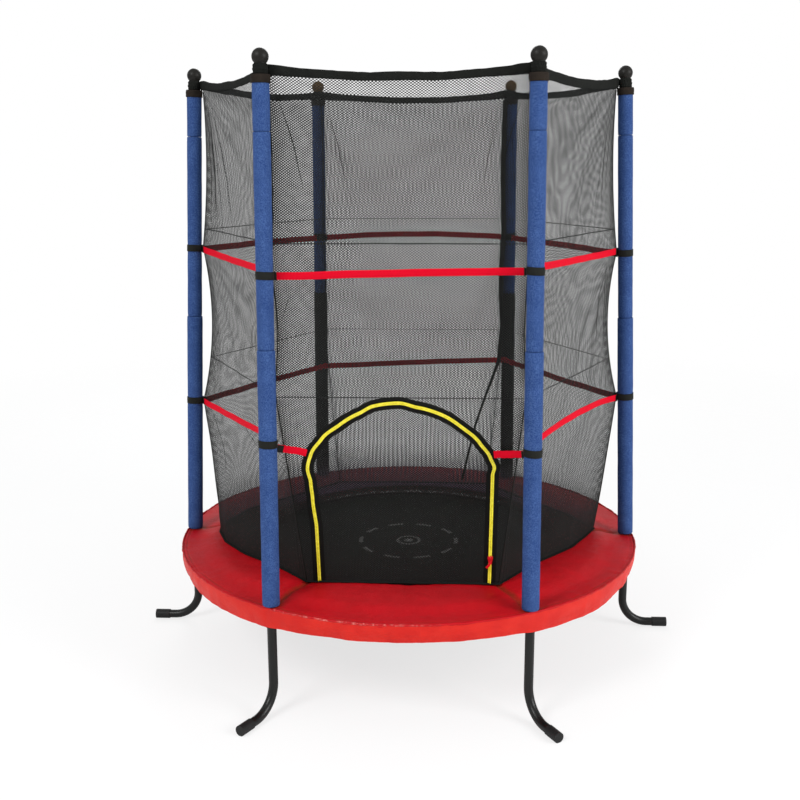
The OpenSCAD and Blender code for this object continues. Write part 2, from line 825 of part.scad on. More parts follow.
// The door's arched outline, grown by d, from a foot at height foot.
function arch(d, foot) = concat(
    [[door_w / 2 + d, foot]],
    [for (k = [0 : arch_steps]) let (a = 180 * k / arch_steps)
        [(door_w / 2 + d) * cos(a), door_side_h + (door_rise + d) * sin(a)]],
    [[-door_w / 2 - d, foot]]);

// An arched band between two growths of the outline.
module arch_band(d0, d1, foot, thick) {
    linear_extrude(thick)
        difference() {
            polygon(arch(d1, foot));
            polygon(arch(d0, foot - 1));
        }
}

// The front net below the fold: square mesh round the door, with a rim beside the zip's tape.
module net_front_lower() {
    half = net_end_r / 2;
    half_top = fold_r / 2;
    trim = fit + net_t / 2 * tan(step / 2);
    cut = door_gap + tape_w + fit;
    height = fold_s - fit;
    function x_at(c, s) = mix(half, half_top, s / fold_s) * (2 * c / net_cols - 1);
    color([0.2, 0.2, 0.2])
        on_front_net()
            translate([0, 0, -net_t / 2])
                linear_extrude(net_t)
                    difference() {
                        union() {
                            difference() {
                                polygon([[-half + trim, 0], [half - trim, 0],
                                    [half_top - trim, height], [-half_top + trim, height]]);
                                for (c = [0 : net_cols - 1], r = [0 : fold_row - 1]) {
                                    s0 = (levels[r] - net_z) / cos(door_tilt) + cord_w / 2;
                                    s1 = (levels[r + 1] - net_z) / cos(door_tilt) - cord_w / 2;
                                    polygon([
                                        [x_at(c, s0) + cord_w / 2, s0], [x_at(c, s1) + cord_w / 2, s1],
                                        [x_at(c + 1, s1) - cord_w / 2, s1],
                                        [x_at(c + 1, s0) - cord_w / 2, s0]]);
                                }
                            }
                            intersection() {
                                polygon(arch(cut + rim_w, 0));
                                polygon([[-half + trim, 0], [half - trim, 0],
                                    [half_top - trim, height], [-half_top + trim, height]]);
                            }
                        }
                        polygon(arch(cut, -1));
                    }
}

module door_panel() {
    d = -door_gap - tape_w - fit;
    w = door_w + 2 * d;
    top = door_side_h + door_rise + d;
    cell_w = (w - cord_w) / door_cols;
    cell_h = (top - bead_r) / door_rows;
    color([0.22, 0.22, 0.22])
        on_front_net() {
            translate([0, 0, -net_t / 2])
                linear_extrude(net_t)
                    difference() {
                        polygon(arch(d, bead_r));
                        intersection() {
                            polygon(arch(d - cord_w, bead_r + cord_w));
                            for (c = [0 : door_cols - 1], r = [0 : door_rows - 1])
                                translate([-w / 2 + cord_w + c * cell_w, bead_r + cord_w + r * cell_h])
                                    square([cell_w - cord_w, cell_h - cord_w]);
                        }
                    }
            translate([-door_w / 2 + door_gap, bead_r, 0])
                rotate([0, 90, 0])
                    cylinder(r = net_t / 2, h = door_w - 2 * door_gap);
        }
}

module zip_tape_outer() {
    color([0.07, 0.07, 0.07])
        on_front_net()
            translate([0, 0, -tape_t / 2])
                arch_band(door_gap, door_gap + tape_w, 0, tape_t);
}

module zip_tape_inner() {
    color([0.07, 0.07, 0.07])
        on_front_net()
            translate([0, 0, -tape_t / 2])
                arch_band(-door_gap - tape_w, -door_gap, bead_r + net_t / 2 + fit, tape_t);
}

module zip_chain_outer() {
    color([0.95, 0.9, 0.2])
        on_front_net()
            translate([0, 0, tape_t / 2])
                arch_band(door_gap, door_gap + chain_w, 0, chain_t);
}

module zip_chain_inner() {
    color([0.95, 0.9, 0.2])
        on_front_net()
            translate([0, 0, tape_t / 2])
                arch_band(-door_gap - chain_w, -door_gap, bead_r + net_t / 2 + fit, chain_t);
}

module zip_slider() {
    ear_h = pin_out + pin_r + 1;
    color([0.85, 0.06, 0.08])
        on_front_net()
            translate([door_w / 2, slider_up, slider_z0]) {
                translate([-slider_w / 2, -slider_l / 2, 0])
                    cube([slider_w, slider_l, slider_t]);
                for (side = [-1, 1])
                    translate([
                        side * (pull_eye_w / 2 + fit + ear_t / 2) - ear_t / 2,
                        pin_up - 3,
                        slider_t - eps])
                        cube([ear_t, 6, ear_h]);
                translate([-pull_eye_w / 2 - fit - ear_t / 2, pin_up, slider_t + pin_out])
                    rotate([0, 90, 0])
                        cylinder(r = pin_r, h = pull_eye_w + 2 * fit + ear_t);
            }
}

// The pull hangs straight down from the slider's pin.
module zip_pull() {
    s = slider_up + pin_up;
    out = slider_z0 + slider_t + pin_out;
    color([0.85, 0.06, 0.08])
        translate([
            door_w / 2,
            -net_front_y - s * sin(door_tilt) - out * cos(door_tilt),
            net_z + s * cos(door_tilt) - out * sin(door_tilt)])
            difference() {
                union() {
                    rotate([0, 90, 0])
                        cylinder(r = pull_eye_r, h = pull_eye_w, center = true);
                    translate([-pull_eye_w / 2, -pull_t / 2, -pull_eye_r - 3])
                        cube([pull_eye_w, pull_t, 4.5]);
                    translate([-pull_w / 2, -pull_t / 2, -pull_eye_r - pull_l])
                        cube([pull_w, pull_t, pull_l - 2]);
                }
                rotate([0, 90, 0])
                    cylinder(r = pull_bore_r, h = pull_eye_w + 1, center = true);
            }
}

// ---------------------------------------------------------------- nodes

frame_arc(0);  // frame_arc_1
frame_arc(1);  // frame_arc_2
frame_arc(2);  // frame_arc_3
frame_arc(3);  // frame_arc_4
frame_arc(4);  // frame_arc_5
frame_arc(5);  // frame_arc_6
leg(0);  // leg_1
leg(1);  // leg_2
leg(2);  // leg_3
leg(3);  // leg_4
leg(4);  // leg_5
leg(5);  // leg_6
foot_caps();
frame_screws();
lower_pole(0);  // lower_pole_1
lower_pole(1);  // lower_pole_2
lower_pole(2);  // lower_pole_3
lower_pole(3);  // lower_pole_4
lower_pole(4);  // lower_pole_5
lower_pole(5);  // lower_pole_6
upper_pole(0);  // upper_pole_1
upper_pole(1);  // upper_pole_2
upper_pole(2);  // upper_pole_3
upper_pole(3);  // upper_pole_4
upper_pole(4);  // upper_pole_5
upper_pole(5);  // upper_pole_6
pole_caps();
top_foams();
middle_foams();
lower_foams();
lower_foams_back();
jump_mat();
mat_hem();
mat_rings();
elastic_straps();
pad_cover();
pad_foam();
pad_ties();
net_mesh(0, 0, top_row);  // net_right_back
net_mesh(1, 0, top_row);  // net_back
net_mesh(2, 0, top_row);  // net_left_back
net_mesh(3, 0, top_row);  // net_left_front
net_mesh(5, 0, top_row);  // net_right_front
net_front_lower();
net_mesh(4, fold_row, top_row);  // net_front_upper
net_top_hem();
net_bottom_hem();
net_back_tape();
hem_loops();
upper_strap();
lower_strap();
strap_bands();
door_panel();
zip_tape_outer();
zip_tape_inner();
zip_chain_outer();
zip_chain_inner();
zip_slider();
zip_pull();
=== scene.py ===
from bisect import bisect_right
from math import atan2, copysign, cos, degrees, exp, hypot, pi, radians, sin, tan

import bpy
from mathutils import Matrix, Vector, noise


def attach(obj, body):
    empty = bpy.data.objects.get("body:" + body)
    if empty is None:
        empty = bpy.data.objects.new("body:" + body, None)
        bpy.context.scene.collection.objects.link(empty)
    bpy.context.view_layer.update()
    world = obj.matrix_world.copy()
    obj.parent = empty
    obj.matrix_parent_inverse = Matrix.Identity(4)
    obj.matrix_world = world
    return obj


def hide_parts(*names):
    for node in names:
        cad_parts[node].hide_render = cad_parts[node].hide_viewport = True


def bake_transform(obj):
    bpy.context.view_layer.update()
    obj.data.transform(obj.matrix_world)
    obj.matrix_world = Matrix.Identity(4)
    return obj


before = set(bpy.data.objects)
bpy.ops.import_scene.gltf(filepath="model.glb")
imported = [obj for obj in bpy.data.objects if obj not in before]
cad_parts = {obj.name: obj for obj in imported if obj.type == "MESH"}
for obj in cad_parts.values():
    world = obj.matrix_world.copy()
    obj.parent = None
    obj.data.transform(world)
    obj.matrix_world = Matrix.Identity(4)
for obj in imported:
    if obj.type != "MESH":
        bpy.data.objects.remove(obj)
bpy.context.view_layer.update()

TAU = 2 * pi
SIXTH = radians(60)

# ---------------------------------------------------------------- sizes, in metres

# Poles: the height and radius at which they rise, and how far they lean in, the two side ones the most.
SHOULDER_Z = 0.290
POLE_R = 0.679
SIDE_LEAN = radians(2.5)
END_LEAN = radians(1.0)
# Frame: the radius and height of the ring, and the radius of its tube.
FRAME_R = 0.6521
FRAME_Z = 0.277
TUBE_R = 0.0125
# Foam sleeves: their radius below and above the joint, the top and the joints.
FOAM_R = 0.023
SLIM_FOAM_R = 0.0213
FOAM_TOP = 1.64847
FOAM_TOP_JOINT = 1.518
FOAM_JOINT = 0.990
# The clearance between things that fit round or on each other.
FIT = 0.0004
# The neck of a pole's cap and the hem's loop round it.
NECK_R = 0.0146
LOOP_R = 0.018
LOOP_H = 0.0255
# Straps and the bands that tie them.
LOWER_STRAP_Z = 0.739
UPPER_STRAP_Z = 1.183
WEBBING_W = 0.019
BAND_H = 0.020
# Net: its foot, fold and top, how far in its corners are tied, its slack, the radius of its foot at the side
# poles and at the others, and the share of its width that the seam takes.
NET_Z = 0.3257
FOLD_Z = 0.885
NET_TOP_Z = 1.65547
TIE_INSET = 0.02964
TOP_INSET = 0.02469
HEM_SAG = 0.018
NET_SLACK = 0.027
NET_SIDE_R = 0.573
NET_END_R = 0.525
EDGE_U = 0.0006
FRONT_Y = NET_END_R * cos(SIXTH / 2)
# Door and zip, in the plane of the lower front net.
DOOR_HALF = 0.238
DOOR_SIDE = 0.325
DOOR_RISE = 0.208
DOOR_TILT = radians(10.008)
DOOR_FOOT = 0.0022
TAPE_W = 0.0160
TAPE_T = 0.0016
# Pad: its edges, its seam, its underside, edge and top, the slope between these, and its skirt.
PAD_IN = 0.455
PAD_OUT = 0.700
PAD_SEAM_R = 0.685
PAD_Z = 0.2921
PAD_EDGE_Z = 0.3111
PAD_TOP_Z = 0.3221
SLOPE_IN = 0.590
SLOPE_OUT = 0.652
SKIRT_H = 0.049
# Mat, with its rings and the webbing that goes round them.
MAT_R = 0.488
RING_C = 0.505
RING_R = 0.009
WIRE_R = 0.0020
BELT_R = 0.0029
MAT_SECTORS = 12
SECTOR_RINGS = 3
RINGS = MAT_SECTORS * SECTOR_RINGS
# The zip's slider and its pull: how far up the door, and how far out of the net.
SLIDER_UP = 0.075
SLIDER_OUT = 0.0034
PULL_UP = 0.0830
PULL_OUT = 0.0097
# The mesh: the pitch of its holes across and up, and its two thin level seams.
HOLE_X = 0.0079
HOLE_Y = 0.0062
UPPER_SEAM_Z = 1.2515
LOWER_SEAM_Z = 0.8645
SEAM_HALF = 0.0014

# Each pole's two bands were tied by hand, a little off their level.
LOWER_TIE = (0.751, 0.757, 0.730, 0.729, 0.749, 0.732)
UPPER_TIE = (1.183, 1.190, 1.188, 1.195, 1.175, 1.188)


# ---------------------------------------------------------------- numbers and places

def mix(a, b, t):
    return a + (b - a) * t


def clamp(x, low=0.0, high=1.0):
    return max(low, min(high, x))


def ease(t):
    t = clamp(t)
    return t * t * (3 - 2 * t)


def arc(t):
    """0 at t = 0 and t = 1, and 1 half way between."""
    return 4 * t * (1 - t)


def bump(x, width):
    """1 at x = 0, falling smoothly to 0 over a few widths."""
    return exp(-(x / width) ** 2)


def shares(count):
    return [k / count for k in range(count + 1)]


def angles(count):
    return [TAU * k / count for k in range(count)]


def wander(x, seed):
    """A smooth random value from -1 to 1 along x."""
    return noise.noise(Vector((x, seed * 7.31, 0.37))) * 1.6


def spot(p, scale, seed=0.0):
    """A smooth random value from about -1 to 1 at a point of space."""
    return noise.noise(Vector((p[0] * scale + seed, p[1] * scale - seed, p[2] * scale))) * 1.6


def read_off(table, x, between=lambda t: t):
    """A table's value at x, with between() shaping the way from one entry to the next."""
    for (x0, y0), (x1, y1) in zip(table, table[1:]):
        if x <= x1:
            return mix(y0, y1, between((x - x0) / (x1 - x0)))
    return table[-1][1]


def lift(z):
    return Vector((0, 0, z))


def round_z(r, t, z=0):
    return Vector((r * cos(t), r * sin(t), z))


def tangent(t):
    return Vector((-sin(t), cos(t), 0))


def outward(p):
    """The level direction from the trampoline's axis to a point."""
    return p.xy.to_3d().normalized()


def lean(i):
    return SIDE_LEAN if i % 3 == 0 else END_LEAN


def on_pole(i, r, a, h):
    """A point beside pole i, at radius r and angle a from its axis and height h up it."""
    x = r * cos(a)
    y = r * sin(a)
    slant = lean(i)
    out = POLE_R + x * cos(slant) - h * sin(slant)
    up = SHOULDER_Z + x * sin(slant) + h * cos(slant)
    t = SIXTH * i
    return Vector((out * cos(t) - y * sin(t), out * sin(t) + y * cos(t), up))


# ---------------------------------------------------------------- meshes

def frames(points, up, closed=False):
    """Frames for a sweep: the side is up made square to the path, and out is square to both."""
    out = []
    n = len(points)
    for k, p in enumerate(points):
        before = points[(k - 1) % n] if closed else points[max(k - 1, 0)]
        after = points[(k + 1) % n] if closed else points[min(k + 1, n - 1)]
        along = (after - before).normalized()
        u = up(k) if callable(up) else up
        side = (u - along * u.dot(along)).normalized()
        out.append((p, side, side.cross(along)))
    return out


def oval(width, thick):
    """A flat rounded section, width across and thick through."""
    w = width / 2
    t = thick / 2
    r = t * 0.9
    points = []
    for corner, (sx, sy) in enumerate(((1, 1), (-1, 1), (-1, -1), (1, -1))):
        for k in range(3):
            a = pi / 2 * (corner + k / 2)
            points.append((sx * (w - r) + r * cos(a), sy * (t - r) + r * sin(a)))
    return points


def circle(r, sides):
    return [(r * cos(a), r * sin(a)) for a in angles(sides)]


class Shape:
    """Points, weave coordinates, marks of folds and of painted light, and faces of one piece, gathered before
    its mesh is made.
    """

    def __init__(self):
        self.points = []
        self.weave = []
        self.fold = []
        self.faces = []

    def point(self, p, uv=(0, 0), fold=0.0):
        self.points.append(tuple(p))
        self.weave.append(uv)
        self.fold.append(fold)
        return len(self.points) - 1

    def skin(self, rows, closed_rows=False, closed_cols=False, flip=False, capped=False):
        """Faces over rows of (place, weave, mark of folds and painted light), with the first and last row
        filled where capped.
        """
        rows = [[self.point(*p) for p in row] for row in rows]
        n = len(rows)
        m = len(rows[0])
        for r in range(n if closed_rows else n - 1):
            here = rows[r]
            after = rows[(r + 1) % n]
            for c in range(m if closed_cols else m - 1):
                d = (c + 1) % m
                face = (here[c], here[d], after[d], after[c])
                self.faces.append(face[:1] + face[:0:-1] if flip else face)
        if capped:
            self.faces += [rows[0], rows[-1][::-1]] if flip else [rows[0][::-1], rows[-1]]
        return self

    def sweep(self, path, section, closed=False):
        """Carries a closed section (side, out) along a path of (centre, side, out) frames."""
        rows = []
        along = 0.0
        for k, (centre, side, out) in enumerate(path):
            if k:
                along += (centre - path[k - 1][0]).length
            cut = section(k, along) if callable(section) else section
            rows.append([(centre + side * a + out * b, (along, a)) for a, b in cut])
        return self.skin(rows, closed_rows=closed, closed_cols=True, capped=not closed)

    def band(self, points, up, section, closed=False):
        """A sweep along points whose section keeps its side towards up."""
        return self.sweep(frames(points, up, closed), section, closed)

    def turned(self, profile, place, steps=48):
        """Turns a closed profile of (radius, height) about the axis of place(radius, angle, height)."""
        rows = []
        along = 0.0
        for k, (r, h) in enumerate(profile):
            if k:
                along += hypot(r - profile[k - 1][0], h - profile[k - 1][1])
            rows.append([(place(r, a, h), (a * FOAM_R, along)) for a in angles(steps)])
        return self.skin(rows, closed_rows=True, closed_cols=True)

    def made(self, name, material, crease=None, smooth=True):
        """The piece itself, with hard edges where its faces meet at more than crease degrees."""
        mesh = bpy.data.meshes.new(name)
        mesh.from_pydata(self.points, [], self.faces)
        layer = mesh.uv_layers.new(name="weave")
        for loop in mesh.loops:
            layer.data[loop.index].uv = self.weave[loop.vertex_index]
        if any(self.fold):
            marks = mesh.attributes.new("fold", "FLOAT", "POINT")
            marks.data.foreach_set("value", self.fold)
        mesh.materials.append(material)
        mesh.validate()
        mesh.polygons.foreach_set("use_smooth", [smooth] * len(mesh.polygons))
        if crease:
            mesh.set_sharp_from_angle(angle=radians(crease))
        piece = bpy.data.objects.new(name, mesh)
        bpy.context.collection.objects.link(piece)
        return piece


# ---------------------------------------------------------------- materials

class Wire:
    """A socket in a material's nodes. Arithmetic on it adds Math nodes."""

    def __init__(self, tree, socket=None):
        self.tree = tree
        self.socket = socket

    def node(self, kind, settings=None, values=None, out=0):
        """Adds a node: its settings first, then its sockets' values or links."""
        made = self.tree.nodes.new("ShaderNode" + kind)
        for key, value in (settings or {}).items():
            setattr(made, key, value)
        for key, value in (values or {}).items():
            if isinstance(value, Wire):
                self.tree.links.new(value.socket, made.inputs[key])
            else:
                made.inputs[key].default_value = value
        return Wire(self.tree, made.outputs[out])

    def math(self, operation, *others):
        return self.node("Math", {"operation": operation}, dict(enumerate((self, *others))))

    def __add__(self, other):
        return self.math("ADD", other)

    def __mul__(self, other):
        return self.math("MULTIPLY", other)

    def __sub__(self, other):
        return self.math("SUBTRACT", other)

    def __rsub__(self, other):
        return self.node("Math", {"operation": "SUBTRACT"}, {0: other, 1: self})

    def __abs__(self):
        return self.math("ABSOLUTE")

    def wave(self, pitch):
        """A cosine along this value that repeats each pitch."""
        return (self * (TAU / pitch)).math("COSINE")

    def over(self, low, high):
        """0 below low, 1 above high, and a straight slope between."""
        return self.node("MapRange", {"clamp": True}, {"Value": self, "From Min": low, "From Max": high})

    def near(self, centre, half):
        """1 within about half of centre, 0 outside."""
        return 1 - abs(self - centre).over(half * 0.7, half * 1.3)

    def noise(self, scale, detail=2.0, rough=0.5):
        return self.node("TexNoise", None,
                         {"Vector": self, "Scale": scale, "Detail": detail, "Roughness": rough})

    def cells(self, scale):
        return self.node("TexVoronoi", None, {"Vector": self, "Scale": scale})

    def axis(self, number):
        return self.node("SeparateXYZ", None, {0: self}, number)

    def blend(self, low, high):
        """A colour that goes from low to high as this value goes from 0 to 1."""
        low, high = (c if isinstance(c, Wire) else (*c, 1.0) for c in (low, high))
        return self.node("Mix", {"data_type": "RGBA"}, {0: self, 6: low, 7: high}, 2)

    def relief(self, distance, strength):
        return self.node("Bump", None, {"Height": self, "Distance": distance, "Strength": strength})


def finish(name, gloss, surface, *details, **constants):
    """A material. surface(wire, *details) gives its colour, roughness, relief and, for a mesh, its cover."""
    made = bpy.data.materials.new(name)
    made.use_nodes = True
    tree = made.node_tree
    shader = tree.nodes["Principled BSDF"]
    shader.inputs["Specular IOR Level"].default_value = gloss
    for key, value in constants.items():
        shader.inputs[key.replace("_", " ")].default_value = value
    for key, wire in zip(("Base Color", "Roughness", "Normal", "Alpha"), surface(Wire(tree), *details)):
        tree.links.new(wire.socket, shader.inputs[key])
    return made


def weave_of(w):
    """The cloth's own coordinates in metres: both, along, across."""
    cloth = w.node("UVMap", {"uv_map": "weave"})
    return cloth, cloth.axis(0), cloth.axis(1)


# The mark of folds and painted light: on the net, how close the cloth lies at folds and at its foot, where it
# is partly painted shade; on the pad, brown painted shade where it is above 0 and pale painted highlights
# where it is below 0.
def fold_of(w):
    return w.node("Attribute", {"attribute_type": "GEOMETRY", "attribute_name": "fold"}, out=2)


def space_of(w):
    return w.node("TexCoord", out=3)


def scaled(color, share):
    return tuple(c * share for c in color)


def powder_coat(w, base, rough):
    at = space_of(w)
    patches = at.noise(14, 4)
    scuffs = at.noise(160, 6, 0.7).over(0.62, 0.72)
    color = patches.over(0.3, 0.7).blend(scaled(base, 0.85), scaled(base, 1.2))
    return ((scuffs * 0.25).blend(color, (0.09, 0.09, 0.088)),
            patches * 0.16 + scuffs * 0.12 + (rough - 0.08),
            at.noise(900).relief(0.0004, 0.35))


def moulded(w, base, rough, grain=1400):
    at = space_of(w)
    patches = at.noise(22, 3)
    return (patches.over(0.3, 0.7).blend(scaled(base, 0.86), scaled(base, 1.18)),
            patches * 0.14 + (rough - 0.07),
            at.noise(grain, 3).relief(0.00025, 0.4))


def ball_surface(w):
    """Black moulded caps, browned by the sun on the two back poles."""
    at = space_of(w)
    patches = at.noise(22, 3)
    color = at.axis(1).over(0.3, 0.4).blend((0.010, 0.0095, 0.0085), (0.085, 0.048, 0.016))
    return ((patches * 0.5).blend(color, (0.02, 0.018, 0.015)),
            patches * 0.14 + 0.34,
            at.noise(1900, 3).relief(0.00025, 0.4))


def zinc_surface(w):
    at = space_of(w)
    stain = at.noise(60, 5, 0.65)
    return (stain.over(0.35, 0.7).blend((0.5, 0.49, 0.46), (0.68, 0.68, 0.66)),
            at.cells(260) * 0.2 + stain * 0.2 + 0.2,
            stain.relief(0.0003, 0.3))


def foam_surface(w, light, dark):
    at = space_of(w)
    bubbles = at.cells(330)
    fine = at.noise(520, 4, 0.65)
    blotch = at.noise(26, 4, 0.6)
    color = (bubbles * 0.7 + fine * 0.9).over(0.45, 1.05).blend(dark, light)
    return ((blotch.over(0.35, 0.75) * 0.35).blend(color, scaled(dark, 0.7)),
            blotch * 0.1 + 0.74,
            (bubbles + fine * 0.6).relief(0.0009, 0.5))


def webbing_surface(w, base, edge, pitch=0.0016, width=WEBBING_W):
    cloth, along, across = weave_of(w)
    off = abs(across)
    yarn = (along + across * 0.9).wave(pitch) * (along - across * 0.9).wave(pitch) * 0.5 + 0.5
    side = off.over(width * 0.40 + 0.0001, width * 0.47 + 0.0001)
    stitches = off.near(width * 0.36, 0.0006) * along.wave(0.004).over(-0.2, 0.3)
    worn = cloth.noise(60, 4, 0.6)
    return ((yarn * 0.55 + worn * 0.55).over(0.1, 0.95).blend(edge, base),
            worn * 0.2 + 0.6,
            (yarn + side * 0.8 + stitches * 1.4).relief(0.0005, 0.6))


def cloth_surface(w, base, light):
    _, along, across = weave_of(w)
    yarn = along.wave(0.0012) * across.wave(0.0012) * 0.5 + 0.5
    soft = space_of(w).noise(45, 4, 0.6)
    return ((yarn * 0.3 + soft * 0.8).over(0.2, 0.9).blend(base, light),
            soft * 0.15 + 0.76,
            (yarn * 0.6 + soft * 1.5).relief(0.0008, 0.5))


def mesh_surface(w, hole_x=HOLE_X, hole_y=HOLE_Y, edge=4.0,
                 low=(0.006, 0.0066, 0.0062), high=(0.026, 0.027, 0.026)):
    """Open knitted mesh: staggered holes, two thin level seams, closer and frayed where it is folded, and
    closer at its foot, partly as painted shade.
    """
    cloth, across, up = weave_of(w)
    fold = fold_of(w)
    ripple = cloth.noise(7) * 0.007
    x = (across + ripple) * (1 - up.over(0.9, 1.65) * 0.10)
    holes = x.wave(hole_x) * (up + ripple * 0.7).wave(hole_y)
    closeness = fold * 0.85 + (cloth.noise(34, 3) * 0.20 - 0.10) + 0.05
    thread = ((closeness - holes) * edge + 0.5).over(0, 1)
    level = up + ripple * 0.35
    cover = thread.math("MAXIMUM", level.near(UPPER_SEAM_Z, SEAM_HALF) + level.near(LOWER_SEAM_Z, SEAM_HALF))
    tone = cloth.noise(240)
    frayed = cloth.noise(150, 5, 0.7).over(0.57, 0.63) * fold.over(0.45, 0.70) * 0.45
    return (frayed.blend(tone.blend(low, high), (0.100, 0.046, 0.046)),
            tone * 0.2 + 0.62,
            holes.relief(0.0006, 0.4),
            (cover * 0.99).over(0, 1))


def mesh_across_surface(w):
    """The back panels' mesh: the same cloth laid the other way, and dusty along its foot."""
    color, *others = mesh_surface(w, HOLE_Y, HOLE_X, 0.32)
    foot = 1 - space_of(w).axis(2).over(0.37, 0.42)
    return foot.blend(color, (0.056, 0.042, 0.060)), *others


def mesh_dusty_surface(w):
    """The mesh that lies on the pad: dusty at the back, and black where it hangs down inside the pad."""
    color, *others = mesh_surface(w, low=(0.007, 0.0062, 0.0062), high=(0.034, 0.018, 0.018))
    at = space_of(w)
    top = at.axis(2).over(0.312, 0.320)
    dust = at.noise(120, 3).over(0.3, 0.7) * 0.6 + 0.4
    frayed = (at.noise(300, 5, 0.7).over(0.55, 0.62) * top * 0.7).blend(color, (0.085, 0.036, 0.036))
    return (at.axis(1).over(0.15, 0.35) * top * dust).blend(frayed, (0.085, 0.055, 0.088)), *others


def mat_surface(w):
    """Tight woven jumping cloth with a plain printed ring of dashes and a dot at its middle."""
    cloth, x, y = weave_of(w)
    yarn = x.wave(0.0022) * y.wave(0.0022) * 0.5 + 0.5
    soft = cloth.noise(9, 5, 0.6)
    rub = cloth.noise(130, 3)
    radius = (x * x + y * y).math("SQRT")
    dashes = (y.math("ARCTAN2", x) * 10).math("COSINE").over(-0.15, -0.05)
    ring = radius.near(0.150, 0.0060) * dashes
    dot = radius.near(0.034, 0.0045) + (1 - radius.over(0.014, 0.016))
    print_mask = ((ring + dot) * (rub.over(0.2, 0.5) * 0.35 + 0.65)).over(0, 1)
    shade = (yarn * 0.35 + soft * 0.8).over(0.2, 0.95)
    base = shade.blend((0.0055, 0.0066, 0.0056), (0.0125, 0.0145, 0.0125))
    return ((print_mask * 0.9).blend(base, (0.15, 0.15, 0.145)),
            soft * 0.18 + 0.62,
            (yarn * 0.7 + rub * 0.4).relief(0.0005, 0.45))


def pvc_surface(w, base, hollow_shade, highlight_color):
    """Coated cloth over foam: fine scrim and soft creases, a deeper red painted as shade in the creases'
    hollows, brown painted shade where its mark is above 0, and pale painted highlights where it is below 0.
    """
    _, along, across = weave_of(w)
    fold = fold_of(w)
    at = space_of(w)
    scrim = along.wave(0.0013) * across.wave(0.0013)
    creases = at.noise(15, 6, 0.62)
    small = at.noise(70, 4, 0.6)
    color = creases.over(0.3, 0.72).blend(hollow_shade, base)
    painted_shade = (fold.over(0.25, 1.0) * (small.over(0.25, 0.7) * 0.6 + 0.4)).over(0, 1)
    highlight = (0 - fold).over(0.35, 0.95) * at.noise(150, 5, 0.7).over(0.50, 0.60)
    return ((highlight * 0.75).blend((painted_shade * 0.8).blend(color, (0.16, 0.028, 0.008)), highlight_color),
            small * 0.22 + 0.34,
            (scrim * 0.05 + creases + small * 0.45).relief(0.007, 0.5))


def elastic_surface(w):
    cloth, along, across = weave_of(w)
    rib = across.wave(0.0012)
    worn = cloth.noise(90, 3)
    return ((rib * 0.3 + worn).over(0.1, 1).blend((0.018, 0.018, 0.018), (0.05, 0.05, 0.05)),
            worn * 0.2 + 0.6,
            (rib + along.wave(0.0016) * 0.5).relief(0.0004, 0.6))


def teeth_surface(w):
    worn = space_of(w).noise(120, 4)
    return (worn.over(0.35, 0.75).blend((0.80, 0.70, 0.03), (0.98, 0.90, 0.10)),
            worn * 0.2 + 0.32,
            worn.relief(0.0002, 0.3))


tube_black = finish("powder_coated_tube", 0.28, powder_coat, (0.006, 0.0063, 0.0058), 0.34)
pole_steel = finish("pole_tube", 0.3, powder_coat, (0.025, 0.026, 0.024), 0.38)
end_plastic = finish("moulded_end_cap", 0.2, moulded, (0.012, 0.012, 0.012), 0.52)
ball_plastic = finish("ball_cap", 0.14, ball_surface)
screw_zinc = finish("zinc_screw", 0.5, zinc_surface, Metallic=1.0)
ring_zinc = finish("zinc_ring", 0.5, zinc_surface, Metallic=1.0)
foam_blue = finish("blue_foam", 0.1, foam_surface, (0.055, 0.112, 0.275), (0.008, 0.028, 0.140))
foam_black = finish("black_foam", 0.1, foam_surface, (0.020, 0.021, 0.018), (0.008, 0.009, 0.007))
collar_cloth = finish("collar_cloth", 0.1, cloth_surface, (0.0105, 0.008, 0.0065), (0.029, 0.0215, 0.0165))
hem_cloth = finish("hem_cloth", 0.1, cloth_surface, (0.004, 0.0045, 0.004), (0.013, 0.014, 0.012))
strap_red = finish("red_webbing", 0.08, webbing_surface, (0.74, 0.0012, 0.020), (0.54, 0.0008, 0.012))
band_black = finish("black_webbing", 0.15, webbing_surface, (0.014, 0.015, 0.012), (0.005, 0.0055, 0.0045),
                    0.0015, BAND_H)
mat_cloth = finish("mat_cloth", 0.08, mat_surface)
elastic_cloth = finish("elastic_cloth", 0.15, elastic_surface)
# After the base: the deeper red painted as shade in the creases' hollows, then the colour of the pale painted
# highlight.
pad_pvc = finish("pad_pvc", 0.12, pvc_surface, (0.52, 0.0035, 0.010), (0.43, 0.002, 0.006),
                 (0.78, 0.30, 0.26), Coat_Weight=0.05, Coat_Roughness=0.35)
# The skirt is a more orange red of its own, and it is made brighter than the top as painted light on its
# upright side.
skirt_pvc = finish("skirt_pvc", 0.12, pvc_surface, (0.69, 0.024, 0.014), (0.56, 0.012, 0.009),
                   (0.80, 0.30, 0.24), Coat_Weight=0.05, Coat_Roughness=0.35)
net_cloth = finish("net_mesh", 0.05, mesh_surface)
net_cloth_dusty = finish("net_mesh_dusty", 0.05, mesh_dusty_surface)
net_cloth_across = finish("net_mesh_across", 0.05, mesh_across_surface)
tape_cloth = finish("zip_tape", 0.08, webbing_surface, (0.008, 0.0085, 0.0075), (0.003, 0.003, 0.003),
                    0.0013, TAPE_W)
zip_yellow = finish("yellow_teeth", 0.2, teeth_surface)
zip_red = finish("red_slider", 0.3, moulded, (0.62, 0.008, 0.014), 0.34, 900)


# ---------------------------------------------------------------- pieces

def settle(shape, name, look, nodes=(), body="frame", crease=None):
    """Makes a piece with its material, hides the CAD nodes that it stands for and attaches it to the body, if
    any, that it rides on.
    """
    piece = shape.made(name, look, crease)
    if nodes:
        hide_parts(*nodes)
    if body:
        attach(piece, body)
    return piece


